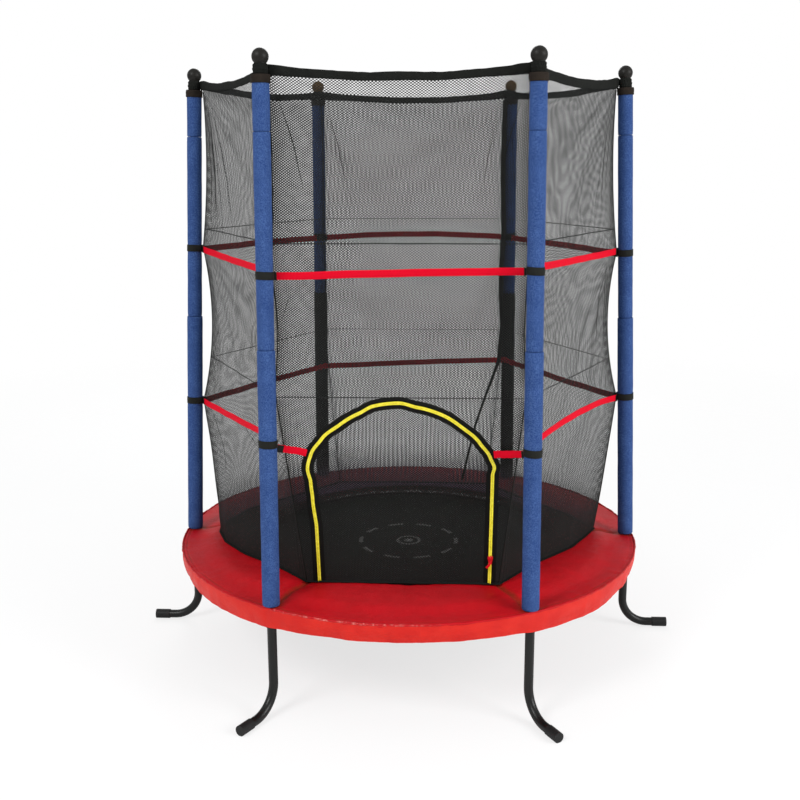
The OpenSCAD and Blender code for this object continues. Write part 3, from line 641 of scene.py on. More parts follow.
def dress_carried_nodes():
    looks = {"frame_arc": tube_black, "leg": tube_black, "foot_caps": end_plastic, "frame_screws": screw_zinc,
             "lower_pole": pole_steel, "upper_pole": pole_steel, "pole_caps": ball_plastic}
    for name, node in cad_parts.items():
        for start, look in looks.items():
            if name.startswith(start):
                for slot in node.material_slots:
                    slot.material = look


# ---------------------------------------------------------------- foam sleeves

def foam_segment(place, i, z0, z1, radius, node, black=False):
    """A tube of foam with rounded ends, drawn in a little under each tied band."""
    h0 = z0 - SHOULDER_Z
    h1 = z1 - SHOULDER_Z
    bore = TUBE_R + FIT
    rim = [(0.0026, 0.0), (0.0008, 0.0009), (0.0002, 0.003)]
    profile = [(bore, h0)] + [(radius - r, h0 + h) for r, h in rim]
    count = max(6, round((h1 - h0) / 0.011))
    for k in range(1, count):
        h = mix(h0 + 0.003, h1 - 0.003, k / count)
        squeeze = sum(bump(h - (z - SHOULDER_Z), 0.012) for z in (LOWER_TIE[i], UPPER_TIE[i]))
        profile.append((radius - 0.0011 * squeeze + 0.0003 * wander(h * 22, i + z0), h))
    profile += [(radius - r, h1 - h) for r, h in rim[::-1]] + [(bore, h1)]
    look, slot = (foam_black, "foam_black") if black else (foam_blue, "foam_blue")
    sleeve = settle(Shape().turned(profile, lambda r, a, h: on_pole(i, r, a, h)), f"foam_{place}_{i}",
                    look, [node], crease=50)


def foam_sleeves():
    for i in range(6):
        foot = PAD_EDGE_Z + 0.0003 + FOAM_R * sin(lean(i))
        back = i in (1, 2)
        node = "lower_foams_back" if back else "lower_foams"
        foam_segment("lower", i, foot, FOAM_JOINT, FOAM_R, node, back)
        foam_segment("middle", i, FOAM_JOINT + FIT, FOAM_TOP_JOINT, SLIM_FOAM_R, "middle_foams")
        foam_segment("top", i, FOAM_TOP_JOINT + FIT, FOAM_TOP, SLIM_FOAM_R - 0.0003, "top_foams")


# A collar's outline: how far it stands out from the foam, and how high above the foam's top.
COLLAR = [(0.0001, -0.0185), (0.0012, -0.0189), (0.0020, -0.0173), (0.0016, -0.0125),
          (0.0021, -0.0075), (0.0018, -0.0014), (0.0006, 0.0012), (-0.004, 0.0014),
          (-0.004, 0.0004), (0.0001, -0.0002)]


def foam_collar(i):
    """A dark collar round the top of pole i's foam."""
    foam = mix(FOAM_R, SLIM_FOAM_R, 0.6)
    top = FOAM_TOP - SHOULDER_Z
    shape = Shape().turned([(foam + r, top + h) for r, h in COLLAR],
                           lambda r, a, h: on_pole(i, r + 0.0004 * wander(a * 3 + h * 90, i), a, h), 56)
    settle(shape, f"foam_collar_{i}", collar_cloth)


def hem_loop(i):
    """The hem's gathered loop round the neck of pole i's cap."""
    base = FOAM_TOP - SHOULDER_Z + 0.001
    outline = [(LOOP_R - 0.0028 + 0.0026 * sin(pi * t) ** 0.5 + 0.0006 * sin(t * 17), base + LOOP_H * t)
               for t in shares(12)]
    rows = []
    for r, h in outline + [(NECK_R + FIT, base + LOOP_H), (NECK_R + FIT, base)]:
        row = []
        for a in angles(72):
            pleat = 0.0007 * sin(17 * a + 5 * h / LOOP_H + i) + 0.0005 * wander(a * 5, i + 3)
            row.append((on_pole(i, r + (pleat if r > NECK_R + 0.001 else 0), a, h), (a * r, h)))
        rows.append(row)
    shape = Shape().skin(rows, closed_rows=True, closed_cols=True)
    settle(shape, f"hem_loop_{i}", hem_cloth, ["hem_loops"])


# ---------------------------------------------------------------- net surface

def pole_r_at(i, z):
    return POLE_R - tan(lean(i)) * (z - SHOULDER_Z)


def net_inset(i, z):
    """How far the net's corner hangs in from the pole's axis: tied in at knots, slack between them."""
    if i % 3 == 0:
        knots = [(NET_Z, pole_r_at(i, NET_Z) - NET_SIDE_R, -0.004), (LOWER_TIE[i], 0.0272, NET_SLACK),
                 (UPPER_TIE[i], 0.0255, 0.011), (NET_TOP_Z, TOP_INSET, 0)]
    else:
        knots = [(NET_Z, pole_r_at(i, NET_Z) - NET_END_R, 0), (FOLD_Z, TIE_INSET, 0.018),
                 (UPPER_TIE[i], 0.0262, 0.011), (NET_TOP_Z, TOP_INSET, 0)]
    for (z0, a, belly), (z1, b, _) in zip(knots, knots[1:]):
        if z <= z1 or z1 == NET_TOP_Z:
            t = clamp((z - z0) / (z1 - z0))
            return mix(a, b, t) + belly * arc(t)


def net_corner(i, z):
    return round_z(pole_r_at(i, z) - net_inset(i, z), SIXTH * i, z)


def panel_out(k):
    return round_z(1, SIXTH * (k + 0.5))


# How far the net's foot bulges out from straight panels, by the angle round the mat in degrees.
FOOT_BULGE = [(0, 0.005), (14, 0.026), (40, 0.004), (60, 0.0), (90, 0.010), (120, 0.0), (140, 0.020),
              (165, 0.052), (180, 0.017), (187, 0.052), (196, 0.070), (208, 0.058), (225, 0.018), (240, 0.0),
              (300, 0.0), (322, 0.002), (341, 0.026), (352, 0.018), (360, 0.005)]

# How strongly gathers show below the two ties of each panel: at its first pole, and at its second.
GATHERS = [(0.20, 0.15), (0.15, 0.15), (0.15, 0.20), (0.42, 0.15), (0.14, 0.14), (0.15, 0.50)]


def gathered(k, dl, dr, z):
    """Soft gathers that fan out below the places where the net is tied."""
    total = 0.0
    for n, (strength, d) in enumerate(zip(GATHERS[k], (dl, dr))):
        for top in (NET_TOP_Z, UPPER_STRAP_Z):
            drop = top - z
            if drop > 0:
                reach = hypot(d, drop)
                crest = max(0.0, wander(atan2(d, drop) * 9, 50 + k * 4 + n * 2 + top))
                total += strength * crest * bump(reach, 0.42) * ease(reach / 0.06)
    return total


def net_at(k, u, z, out=0.0, still=0.0):
    """Place, weave and fold of panel k at share u of its width and height z, with no folds at still = 1."""
    a = net_corner(k, z)
    b = net_corner((k + 1) % 6, z)
    p = a.lerp(b, u)
    width = (b - a).length
    dl = u * width
    dr = (1 - u) * width
    side = min(dl, dr)
    loose = 1 - still
    shift = out
    if k != 4:
        angle = degrees(atan2(p.y, p.x)) % 360
        p += outward(p) * read_off(FOOT_BULGE, angle) * (1 - ease((z - NET_Z) / 0.30))
    if loose > 0:
        held = max(bump(z - LOWER_STRAP_Z, 0.02), bump(z - UPPER_STRAP_Z, 0.02), bump(z - NET_TOP_Z, 0.02),
                   bump(z - NET_Z, 0.02) * 0.6)
        billow = 0.0035 * (spot(p, 4.2, k) - 0.9) + 0.0014 * spot(p, 16, k + 9)
        pleat = 0.0016 * bump(side, 0.05) * sin(side * 420 + 4 * wander(z * 5, k + (1 if dl < dr else 2)))
        shift += loose * ease(side / 0.02) * (billow + pleat) * (1 - held)
    mark = (0.34 * bump(side, 0.014) + 0.14 * bump(side, 0.06)) * (0.35 + 0.65 * loose)
    mark += gathered(k, dl, dr, z) * loose
    return p + panel_out(k) * shift, (dl - width / 2, z), clamp(mark)


def hung_at(k, u, z, foot=0.0, most=1.0, **how):
    """net_at with the top following the hem's sag, and the cloth closer, by foot, at the bottom hem: partly
    bunched cloth, partly a darker net that stands in for the shade over the pad.
    """
    p, weave, fold = net_at(k, u, z, **how)
    p.z = z - HEM_SAG * arc(u) * ease((z - 1.35) / (NET_TOP_Z - 1.35))
    foot_bunch_and_shade = 0.74 * (1 - ease((z - NET_Z - 0.01) / 0.14)) + 0.14 * (1 - ease((z - NET_Z) / 0.4))
    return p, weave, clamp(fold + foot_bunch_and_shade * foot, 0, most)


def net_panel(k, name):
    """One plain panel of net between two poles, bottom hem to top hem."""
    back = k < 3
    across = [mix(EDGE_U, 1 - EDGE_U, mix(c, 0.5 - 0.5 * cos(pi * c), 0.6)) for c in shares(84)]
    rows = [[hung_at(k, u, mix(NET_Z, NET_TOP_Z, t), 1.6 if back else 1.0, 1.5) for u in across]
            for t in shares(132)]
    look = net_cloth_across if back else net_cloth
    panel = settle(Shape().skin(rows), f"{name}_panel", look, [name])


def net_seams():
    """The sewn edge where two panels meet, at each pole."""
    shape = Shape()
    for i in range(6):
        points = [net_at(i, EDGE_U, mix(NET_Z + 0.002, NET_TOP_Z - 0.012, t), still=1.0)[0]
                  for t in shares(110)]
        shape.band(points, round_z(1, SIXTH * i), circle(0.0014, 6))
    settle(shape, "net_corner_seams", hem_cloth)


# Narrow pleats in the net: panel, share and height at the top, then at the bottom, bow sideways and width.
NET_PLEATS = [(3, 0.02, 1.600, 0.06, 1.330, 0.010, 0.0042), (3, 0.04, 1.605, 0.17, 1.280, 0.012, 0.0036),
              (3, 0.08, 1.610, 0.27, 1.240, 0.016, 0.0030), (3, 0.05, 1.500, 0.10, 1.210, -0.008, 0.0026),
              (2, 0.98, 1.600, 0.93, 1.300, -0.010, 0.0036), (2, 0.95, 1.605, 0.80, 1.260, -0.010, 0.0030),
              (3, 0.55, 0.715, 0.82, 0.610, 0.012, 0.0028), (3, 0.10, 0.700, 0.22, 0.520, 0.010, 0.0030),
              (5, 0.90, 1.160, 0.965, 0.900, 0.012, 0.0042), (5, 0.96, 1.600, 0.90, 1.350, 0.008, 0.0032),
              (5, 0.92, 1.605, 0.76, 1.300, 0.012, 0.0026), (5, 0.95, 1.120, 0.985, 0.930, 0.006, 0.0030),
              (0, 0.03, 1.600, 0.10, 1.310, 0.008, 0.0032), (0, 0.04, 1.140, 0.09, 0.900, 0.010, 0.0030),
              (2, 0.35, 1.010, 0.42, 0.930, 0.006, 0.0026), (4, 0.03, 1.600, 0.12, 1.380, 0.010, 0.0026),
              (4, 0.97, 1.600, 0.90, 1.420, -0.010, 0.0026), (1, 0.04, 1.600, 0.12, 1.340, 0.010, 0.0030),
              (1, 0.96, 1.600, 0.88, 1.360, -0.010, 0.0030), (0, 0.96, 1.600, 0.90, 1.330, -0.010, 0.0028)]


def net_pleats():
    shape = Shape()
    steps = 28
    for n, (k, u0, z0, u1, z1, bow, width) in enumerate(NET_PLEATS):
        points = []
        for t in shares(steps):
            u = mix(u0, u1, t) + bow * arc(t) + 0.003 * wander(t * 5, n)
            points.append(hung_at(k, u, mix(z0, z1, t), out=0.0012)[0])
        across = (net_corner((k + 1) % 6, 1.0) - net_corner(k, 1.0)).normalized()
        shape.band(points, across, lambda j, along: oval(
            max(0.0006, width * sin(pi * clamp(j / steps, 0.03, 0.97)) ** 0.6), 0.0007))
    settle(shape, "net_pleats", hem_cloth)


# The radii and heights where the foot flap hangs down inside the pad.
FLAP_DROP = [(0.4552, 0.3210), (0.4530, 0.3160), (0.4522, 0.3080), (0.4518, 0.2990), (0.4512, 0.2890)]


def net_foot_flap():
    """The net's lower border, turned in over the pad and hanging at its inner edge."""
    rows = []
    for k in range(6):
        for c in range(64):
            p, _, _ = net_at(k, c / 64, NET_Z, still=1.0)
            away = outward(p)
            t = atan2(away.y, away.x)
            lying = [(mix(p.xy.length - 0.004, 0.4600, s), PAD_TOP_Z + 0.0008) for s in shares(9)]
            row = []
            for m, (r, z) in enumerate(lying + FLAP_DROP):
                if m < len(lying):
                    z += 0.0009 * (1 + wander(t * 26 + m * 0.4, 41))
                    z += 0.0005 * (1 + wander(t * 70, 42 + m * 0.1))
                else:
                    r -= 0.0008 * (1 + wander(t * 30, 43))
                mark = clamp(0.98 + 0.10 * wander(t * 9 + m, 44))
                row.append((away * r + lift(z), (t * 0.5, m * 0.012), mark))
            rows.append(row)
    flap = settle(Shape().skin(rows, closed_rows=True), "net_foot_flap", net_cloth_dusty)


# ---------------------------------------------------------------- door outline

# How far the zip wanders out of its even arch, by the distance along it from its right foot.
ZIP_WANDER = [(0.0, -0.001), (0.05, -0.0005), (0.33, 0.0005), (0.352, 0.0065), (0.38, 0.002),
              (0.43, -0.006), (0.50, -0.012), (0.565, -0.010), (0.63, -0.009), (0.68, -0.001),
              (0.745, -0.001), (0.79, -0.008), (0.85, -0.009), (0.915, -0.001), (0.965, 0.006),
              (1.005, 0.008), (1.05, 0.0), (1.10, -0.003), (1.19, -0.010), (1.3514, -0.011)]

# The door's even outline from its right foot, and its running length at each point.
ARCH = [(DOOR_HALF, DOOR_SIDE * k / 120) for k in range(120)]
ARCH += [(DOOR_HALF * cos(pi * t), DOOR_SIDE + DOOR_RISE * sin(pi * t)) for t in shares(240)]
ARCH += [(-DOOR_HALF, DOOR_SIDE * (1 - t)) for t in shares(120)[1:]]
LENGTHS = [0.0]
for (x0, y0), (x1, y1) in zip(ARCH, ARCH[1:]):
    LENGTHS.append(LENGTHS[-1] + hypot(x1 - x0, y1 - y0))
ARCH_LONG = LENGTHS[-1]


def zip_point(s, d):
    """A point d outside the zip's middle line, at length s from its right foot, in the door's plane."""
    s = clamp(s, 0, ARCH_LONG)
    n = min(bisect_right(LENGTHS, s), len(LENGTHS) - 1)
    (x0, y0), (x1, y1) = ARCH[n - 1:n + 1]
    t = (s - LENGTHS[n - 1]) / (LENGTHS[n] - LENGTHS[n - 1])
    off = (read_off(ZIP_WANDER, s, ease) + d) / hypot(x1 - x0, y1 - y0)
    return mix(x0, x1, t) + (y1 - y0) * off, mix(y0, y1, t) - (x1 - x0) * off


def zip_outline(grow):
    return [zip_point(ARCH_LONG * t, grow) for t in shares(260)]


def on_front(x, s, n=0.0):
    """The lower front net's plane: x across, s up it, n out of the enclosure."""
    return Vector((x, -FRONT_Y - s * sin(DOOR_TILT) - n * cos(DOOR_TILT),
                   NET_Z + s * cos(DOOR_TILT) - n * sin(DOOR_TILT)))


def row_width(line, s, side):
    """How far an outline lies from the middle at height s, on one side."""
    best = 0.0
    for (x0, y0), (x1, y1) in zip(line, line[1:]):
        if (x0 + x1) * side > 0 and min(y0, y1) <= s <= max(y0, y1) and y1 != y0:
            best = max(best, abs(mix(x0, x1, (s - y0) / (y1 - y0))))
    return best


def front_panel():
    """The front net: one cloth with the door's arched hole, folded at the height of its upper edge."""
    shape = Shape()
    edge = zip_outline(0.006)
    top = max(y for _, y in edge)
    fold_s = (FOLD_Z - NET_Z) / cos(DOOR_TILT)
    heights = [DOOR_SIDE * k / 34 for k in range(34)]
    heights += [mix(DOOR_SIDE, top, sin(pi / 2 * t)) for t in shares(26)]
    heights += [mix(top, fold_s, t) for t in shares(3)[1:]]
    levels = [NET_Z + s * cos(DOOR_TILT) for s in heights]
    levels += [mix(FOLD_Z, NET_TOP_Z, t) for t in shares(78)[1:]]
    for side in (-1, 1):
        rows = []
        for z in levels:
            s = (z - NET_Z) / cos(DOOR_TILT)
            inner = row_width(edge, s, side) if s < top - 1e-6 else 0.0
            width = (net_corner(5, z) - net_corner(4, z)).length
            row = []
            for c in shares(34):
                u = mix(0.5 + side * inner / width, 0.5 + side * (0.5 - EDGE_U), c)
                still = 0.0
                if s < top + 0.06:
                    gap = abs(u - 0.5) * width - inner if s < top else s - top
                    still = 1 - ease((gap - 0.015) / 0.06)
                row.append(hung_at(4, u, z, 0.6, still=still))
            rows.append(row)
        shape.skin(rows, flip=side > 0)
    panel = settle(shape, "net_front_panel", net_cloth, ["net_front_lower", "net_front_upper"])


def door_cloth():
    """The net of the door, inside the zip."""
    edge = zip_outline(-0.006)
    top = max(y for _, y in edge)
    heights = [mix(DOOR_FOOT, DOOR_SIDE, k / 34) for k in range(34)]
    heights += [mix(DOOR_SIDE, top - 0.0004, sin(pi / 2 * t)) for t in shares(26)]
    rows = []
    for s in heights:
        left = -row_width(edge, s, -1)
        right = row_width(edge, s, 1)
        row = []
        for c in shares(44):
            x = mix(left, right, c)
            inside = min(x - left, right - x, s - DOOR_FOOT)
            n = (0.0016 * spot((x, s, 0), 9, 4) - 0.0008) * ease(inside / 0.05)
            row.append((on_front(x, s, n), (x, NET_Z + s * cos(DOOR_TILT)),
                        0.10 * (1 - ease(inside / 0.03)) + 0.25 * (1 - ease(s / 0.12))))
        rows.append(row)
    cloth = settle(Shape().skin(rows), "door_net", net_cloth, ["door_panel"], "door")


def strip_on_front(name, look, nodes, body, d0, d1, n_mid, thick, foot, wave=0.0):
    """A flat band beside the zip's line, between distances d0 and d1 from it."""
    section = ((0, -0.5), (0.06, -1), (0.94, -1), (1, -0.5), (1, 0.5), (0.94, 1), (0.5, 1.15), (0.06, 1),
               (0, 0.5))
    rows = []
    for t in shares(300):
        s = ARCH_LONG * t
        lift_out = wave * (wander(s * 16, d0 * 900) + 0.6 * wander(s * 45, d1 * 900))
        row = []
        for share, n in section:
            d = mix(d0, d1, share)
            x, y = zip_point(s, d)
            y = foot if t in (0, 1) else max(y, foot)
            outer = abs(d) / max(abs(d0), abs(d1))
            row.append((on_front(x, y, n_mid + n * thick / 2 + lift_out * outer), (s, d - (d0 + d1) / 2)))
        rows.append(row)
    settle(Shape().skin(rows, closed_cols=True, capped=True), name, look, nodes, body, 60)


def zip_teeth(name, node, body, d0, d1, shift, foot):
    """A row of moulded teeth on one tape, each a small rounded block."""
    shape = Shape()
    pitch = 0.0026
    half = pitch * 0.40
    for k in range(int((ARCH_LONG - 0.004) / pitch)):
        s = 0.002 + (k + shift) * pitch
        if s > ARCH_LONG - 0.001:
            continue
        rows = []
        for h, narrow in ((0.00155, 0.0), (0.0026, 0.0), (0.0031, 0.28)):
            ring = []
            for ds, dd in ((-1, 0), (-0.7, 1), (0.7, 1), (1, 0)):
                a = s + ds * half * (1 - narrow)
                d = mix(d0, d1, dd * (1 - narrow * 0.6) + narrow * 0.3)
                x, y = zip_point(a, d)
                ring.append((on_front(x, max(y, foot), h), (a, d)))
            rows.append(ring)
        shape.skin(rows, closed_cols=True, capped=True)
    settle(shape, name, zip_yellow, [node], body, 40)


def zip_parts():
    """Tape, cord and teeth of both halves of the zip: the net's half and the door's."""
    halves = (("net", "outer", "frame", 1, 0.0), ("door", "inner", "door", -1, DOOR_FOOT))
    for half, node, body, way, foot in halves:
        strip_on_front(f"zip_tape_{half}", tape_cloth, [f"zip_tape_{node}"], body,
                       way * 0.0006, way * (0.0006 + TAPE_W), 0.0, TAPE_T, foot, 0.0007)
    for half, _, body, way, foot in halves:
        strip_on_front(f"zip_cord_{half}", zip_yellow, (), body,
                       way * 0.0005, way * 0.0044, 0.0013, 0.0010, foot)
    for half, node, body, way, foot in halves:
        zip_teeth(f"zip_teeth_{half}", f"zip_chain_{node}", body, way * 0.0002, way * 0.0042,
                  0.0 if way > 0 else 0.5, foot)


# Half outlines of the slider's shield and of the pull's eye, from the middle of the top down one side.
SHIELD = [(0.0012, 0.0102), (0.0040, 0.0128), (0.0068, 0.012), (0.0072, 0.006), (0.0060, 0.0),
          (0.0050, -0.006), (0.0046, -0.012), (0.0030, -0.0128)]
EYE = [(0.0014, 0), (0.0028, 0), (0.0034, -0.0006), (0.0036, -0.0030), (0.0032, -0.0056), (0.0018, -0.0072)]


def slider_and_pull():
    """The zip's slider, a shield with a bridge, and its pull tab that hangs from the bridge."""
    right = Vector((1, 0, 0))
    outline = [(-x, y) for x, y in SHIELD] + SHIELD[::-1]
    layers = ((1.0, 0.0), (1.0, 0.0019), (0.93, 0.0026), (0.78, 0.0029))
    rows = [[(on_front(DOOR_HALF + x * shrink, SLIDER_UP + y * shrink, SLIDER_OUT + n), (x, y))
             for x, y in outline] for shrink, n in layers]
    shape = Shape().skin(rows, closed_cols=True, flip=True, capped=True)
    bridge = [on_front(DOOR_HALF, PULL_UP - 0.0062 * cos(pi * t), SLIDER_OUT + 0.0018 + 0.0060 * sin(pi * t))
              for t in shares(14)]
    shape.band(bridge, right, oval(0.0032, 0.0013))
    settle(shape, "zip_slider_body", zip_red, ["zip_slider"], "zip_slider", 40)

    eye = [(0, 0)] + EYE + [(0, -0.0076)] + [(-x, y) for x, y in EYE[::-1]]
    ring = [on_front(DOOR_HALF + x, PULL_UP + y, PULL_OUT) for x, y in eye]
    tab = Shape().band(ring, on_front(0, 0, 1) - on_front(0, 0, 0), oval(0.0012, 0.0012), closed=True)
    strip = [on_front(DOOR_HALF - 0.0105 * t * t, PULL_UP - 0.0072 - 0.0215 * t,
                      PULL_OUT + 0.0006 * sin(3 * t)) for t in shares(14)]
    tab.band(strip, right, lambda k, along: oval(mix(0.0040, 0.0074, ease(along / 0.016)),
                                                 0.0013 + 0.0004 * ease(along / 0.02)))
    settle(tab, "zip_pull_tab", zip_red, ["zip_pull"], "zip_pull", 40)


# ---------------------------------------------------------------- hems, straps and bands

def top_hem():
    """The padded hem round the net's top: a flattened tube, fuller and pleated beside each pole."""
    rows = []
    for k in range(6):
        width = (net_corner(k, NET_TOP_Z) - net_corner((k + 1) % 6, NET_TOP_Z)).length
        for c in range(64):
            u = c / 64
            p, _, _ = net_at(k, u, NET_TOP_Z, out=0.0035, still=1.0)
            side = min(u, 1 - u) * width
            mid_z = FOAM_TOP + 0.0135 - HEM_SAG * arc(u) + 0.0012 * wander(u * 9 + k * 5, 2)
            full = bump(side, 0.06)
            tall = 0.0100 + (0.0022 if k == 5 else 0.0) + 0.0034 * full + 0.0006 * wander(u * 30, k)
            thick = 0.0026 + 0.0024 * full
            away = panel_out(k) if 0.004 < u < 0.996 else outward(p) * 1.1
            row = []
            for s, a in enumerate(angles(16)):
                pleat = 0.0006 * sin(side * 520 + 3 * a) * bump(side, 0.07) + 0.0003 * wander(u * 60 + s, k)
                up = copysign(abs(sin(a)) ** 0.8, sin(a)) * (tall + pleat)
                row.append((Vector((p.x, p.y, mid_z + up)) + away * (cos(a) * (thick + pleat)),
                            (u * width + k * 0.66, a * 0.006)))
            rows.append(row)
    settle(Shape().skin(rows, closed_rows=True, closed_cols=True, flip=True), "net_top_hem_band", hem_cloth,
           ["net_top_hem"])


def bottom_hem():
    """The narrow hem at the foot of the net, which lies on the pad."""
    points = []
    for k in range(6):
        for c in range(40):
            p, _, _ = net_at(k, c / 40, NET_Z, still=1.0)
            points.append(Vector((p.x, p.y, PAD_TOP_Z + 0.0020 + 0.0004 * (1 + wander(c / 40 * 11 + k, 3)))))
    hem = Shape().band(points, lambda k: outward(points[k]),
                       lambda k, along: oval(0.0125 + 0.001 * wander(along * 30, 1), 0.0026), closed=True)
    settle(hem, "net_bottom_hem_band", hem_cloth, ["net_bottom_hem"])


# The closing tape's way down the back panel: height, and share of the panel's width.
TAPE_KNOTS = [(NET_TOP_Z - 0.012, 0.014), (UPPER_STRAP_Z, 0.014), (FOLD_Z, 0.013), (0.752, 0.013),
              (0.524, 0.115), (0.3377, 0.17)]


def back_tape():
    """Closing tape on the inside of the back net, slanting away from the pole near its foot."""
    points = []
    for (z0, u0), (z1, u1) in zip(TAPE_KNOTS, TAPE_KNOTS[1:]):
        for c in range(24):
            z = mix(z0, z1, c / 24)
            points.append(net_at(1, mix(u0, u1, c / 24) + 0.0015 * wander(z * 7, 8), z, out=-0.0018)[0])
    foot_z, foot_u = TAPE_KNOTS[-1]
    points.append(net_at(1, foot_u, foot_z, out=-0.0018)[0])
    across = (net_corner(2, 1.0) - net_corner(1, 1.0)).normalized()
    tape = Shape().band(points, across,
                        lambda k, along: oval(mix(0.0135, 0.008, ease((along - 0.80) / 0.25)), 0.0012))
    settle(tape, "net_back_closing_tape", hem_cloth, ["net_back_tape"])


# How far each panel's strap sways up or down half way between its poles. The lower one has a gap at the door.
UPPER_SWAY = {0: 0.002, 1: 0.012, 2: 0.002, 3: -0.003, 4: 0.0015, 5: -0.001}
LOWER_SWAY = {5: 0.021, 0: -0.004, 1: 0.002, 2: 0.003, 3: -0.001}
# How far a strap's end lies above its band's level: the band, the pole and the side it goes to.
STRAP_LIFT = {("low", 4, 1): -0.013, ("low", 5, -1): -0.008, ("low", 4, -1): 0.012, ("low", 5, 1): 0.006,
              ("low", 0, -1): -0.003, ("high", 4, -1): 0.012, ("high", 5, 1): 0.006, ("high", 0, -1): 0.007}
# At the back poles the lower strap passes over its bands, inside the enclosure.
OVER_BAND = (("low", 1), ("low", 2))
# The lower strap's two loose ends, at the door: their pole, the side they go to and how far they drop.
STUBS = {(4, 1): 0.039, (5, -1): 0.022}
# How far a band's tab goes along its strap, where it is longer than the others.
TAB_REACH = {("low", 4, 1): 0.025, ("high", 1, -1): 0.034, ("high", 2, 1): 0.034}


def foam_r_at(z):
    return FOAM_R if z < FOAM_JOINT else SLIM_FOAM_R


def strap_corner(level, i, side):
    """The place beside pole i where a strap is held against the foam, a little below its band's middle."""
    tie = (LOWER_TIE if level == "low" else UPPER_TIE)[i]
    z = tie - 0.004 + STRAP_LIFT.get((level, i, side), 0.0)
    inset = 0.0028 if (level, i) in OVER_BAND else 0.0012
    return round_z(pole_r_at(i, z + WEBBING_W / 2) - foam_r_at(z) - inset, SIXTH * i, z)


def strap_end(level, i, side):
    """Where the strap that leaves pole i goes: to the next pole, or under the zip's tape at the door."""
    if level == "high" or (i, side) not in STUBS:
        return strap_corner(level, (i + side) % 6, -side)
    s = (LOWER_TIE[i] - STUBS[i, side] - NET_Z) / cos(DOOR_TILT)
    return on_front(-side * row_width(zip_outline(TAPE_W - 0.004), s, -side), s, 0.0022)


def webbing_run(shape, level, i, side, sway, seed, steps=48):
    """One stretch of webbing: it sways a little up or down and twists a touch."""
    a = strap_corner(level, i, side)
    b = strap_end(level, i, side)
    points = []
    for t in shares(steps):
        edge = min(1.0, 12 * min(t, 1 - t))
        points.append(a.lerp(b, t) + lift(sway * arc(t) + 0.0011 * wander(t * 8, seed) * edge))
    out = outward(a + b)
    path = []
    for t, (p, up, normal) in zip(shares(steps), frames(points, lift(1))):
        tilt = 0.10 * wander(t * 4 + 3, seed + 1) * min(1.0, 8 * min(t, 1 - t))
        turned = (up + out * tilt).normalized()
        path.append((p, turned, (normal - up * normal.dot(turned)).normalized()))
    shape.sweep(path, oval(WEBBING_W, 0.0017))


def straps():
    for level, word, sways, seed in (("high", "upper", UPPER_SWAY, 0), ("low", "lower", LOWER_SWAY, 11)):
        shape = Shape()
        for k, sway in sways.items():
            webbing_run(shape, level, k, 1, sway, seed + k)
        if level == "low":
            for i, side in STUBS:
                webbing_run(shape, level, i, side, 0.001, 20 + i, 16)
        settle(shape, f"strap_{word}_run", strap_red, [f"{word}_strap"], crease=50)


def pole_band(level, i, z):
    """A black webbing band: it goes round the foam and takes in the strap and the net's corner."""
    r = foam_r_at(z) + FIT
    over = (level, i) in OVER_BAND
    point = 0.0 if over else 0.0032
    path = []
    for a in angles(64):
        x = r * cos(a)
        y = r * sin(a)
        if x < -r * 0.45:
            x -= point * ease((-x / r - 0.45) / 0.55)
        turn = atan2(y, x)
        path.append(on_pole(i, hypot(x, y), turn, z - SHOULDER_Z + 0.0012 * sin(turn + 2 * i)))
    shape = Shape().band(path, on_pole(i, 0, 0, 1) - on_pole(i, 0, 0, 0), oval(BAND_H, 0.0019), closed=True)
    for side in () if over else (-1, 1):
        start = strap_corner(level, i, side)
        way = (strap_end(level, i, side) - start).normalized() * TAB_REACH.get((level, i, side), 0.016)
        shape.band([start + way * t for t in shares(4)], lift(1), oval(BAND_H + 0.0003, 0.0030))
    settle(shape, f"pole_band_{level}_{i}", band_black, ["strap_bands"], crease=50)


# ---------------------------------------------------------------- pad

# The pad's inner and outer edges, as radius and height, either side of its top.
PAD_INNER = [(0.464, PAD_Z + FIT), (0.4585, 0.2945), (0.4556, 0.2985), (PAD_IN, 0.304), (0.4556, 0.3115),
             (0.4580, 0.3170), (0.4620, 0.3203), (0.4680, 0.3219)]
PAD_RIM = [(0.6925, 0.3106), (0.6970, 0.3088), (0.6990, 0.3055), (0.6985, 0.2995), (0.6955, 0.2945),
           (0.690, PAD_Z + FIT)]
# Where round the pad, in degrees, its skirt and welt carry pale painted highlights, and where the skirt hangs
# slack.
HIGHLIGHT_AT = 258
SLACK_AT = (226, 314)


# How much pale painted highlight the welt and skirt take at angle t.
def highlight_share(t):
    return bump(degrees(t) - HIGHLIGHT_AT, 34)


def pad_top_at(r):
    """The pad's top is level, then slopes down to its edge."""
    down = 0.5 - 0.5 * cos(pi * clamp((r - SLOPE_IN) / (SLOPE_OUT - SLOPE_IN)))
    return mix(PAD_TOP_Z, PAD_EDGE_Z, down)


def seam_gap(t):
    """The distance in angle from the nearest sewn seam, which lies at each pole."""
    return abs((t + SIXTH / 2) % SIXTH - SIXTH / 2)


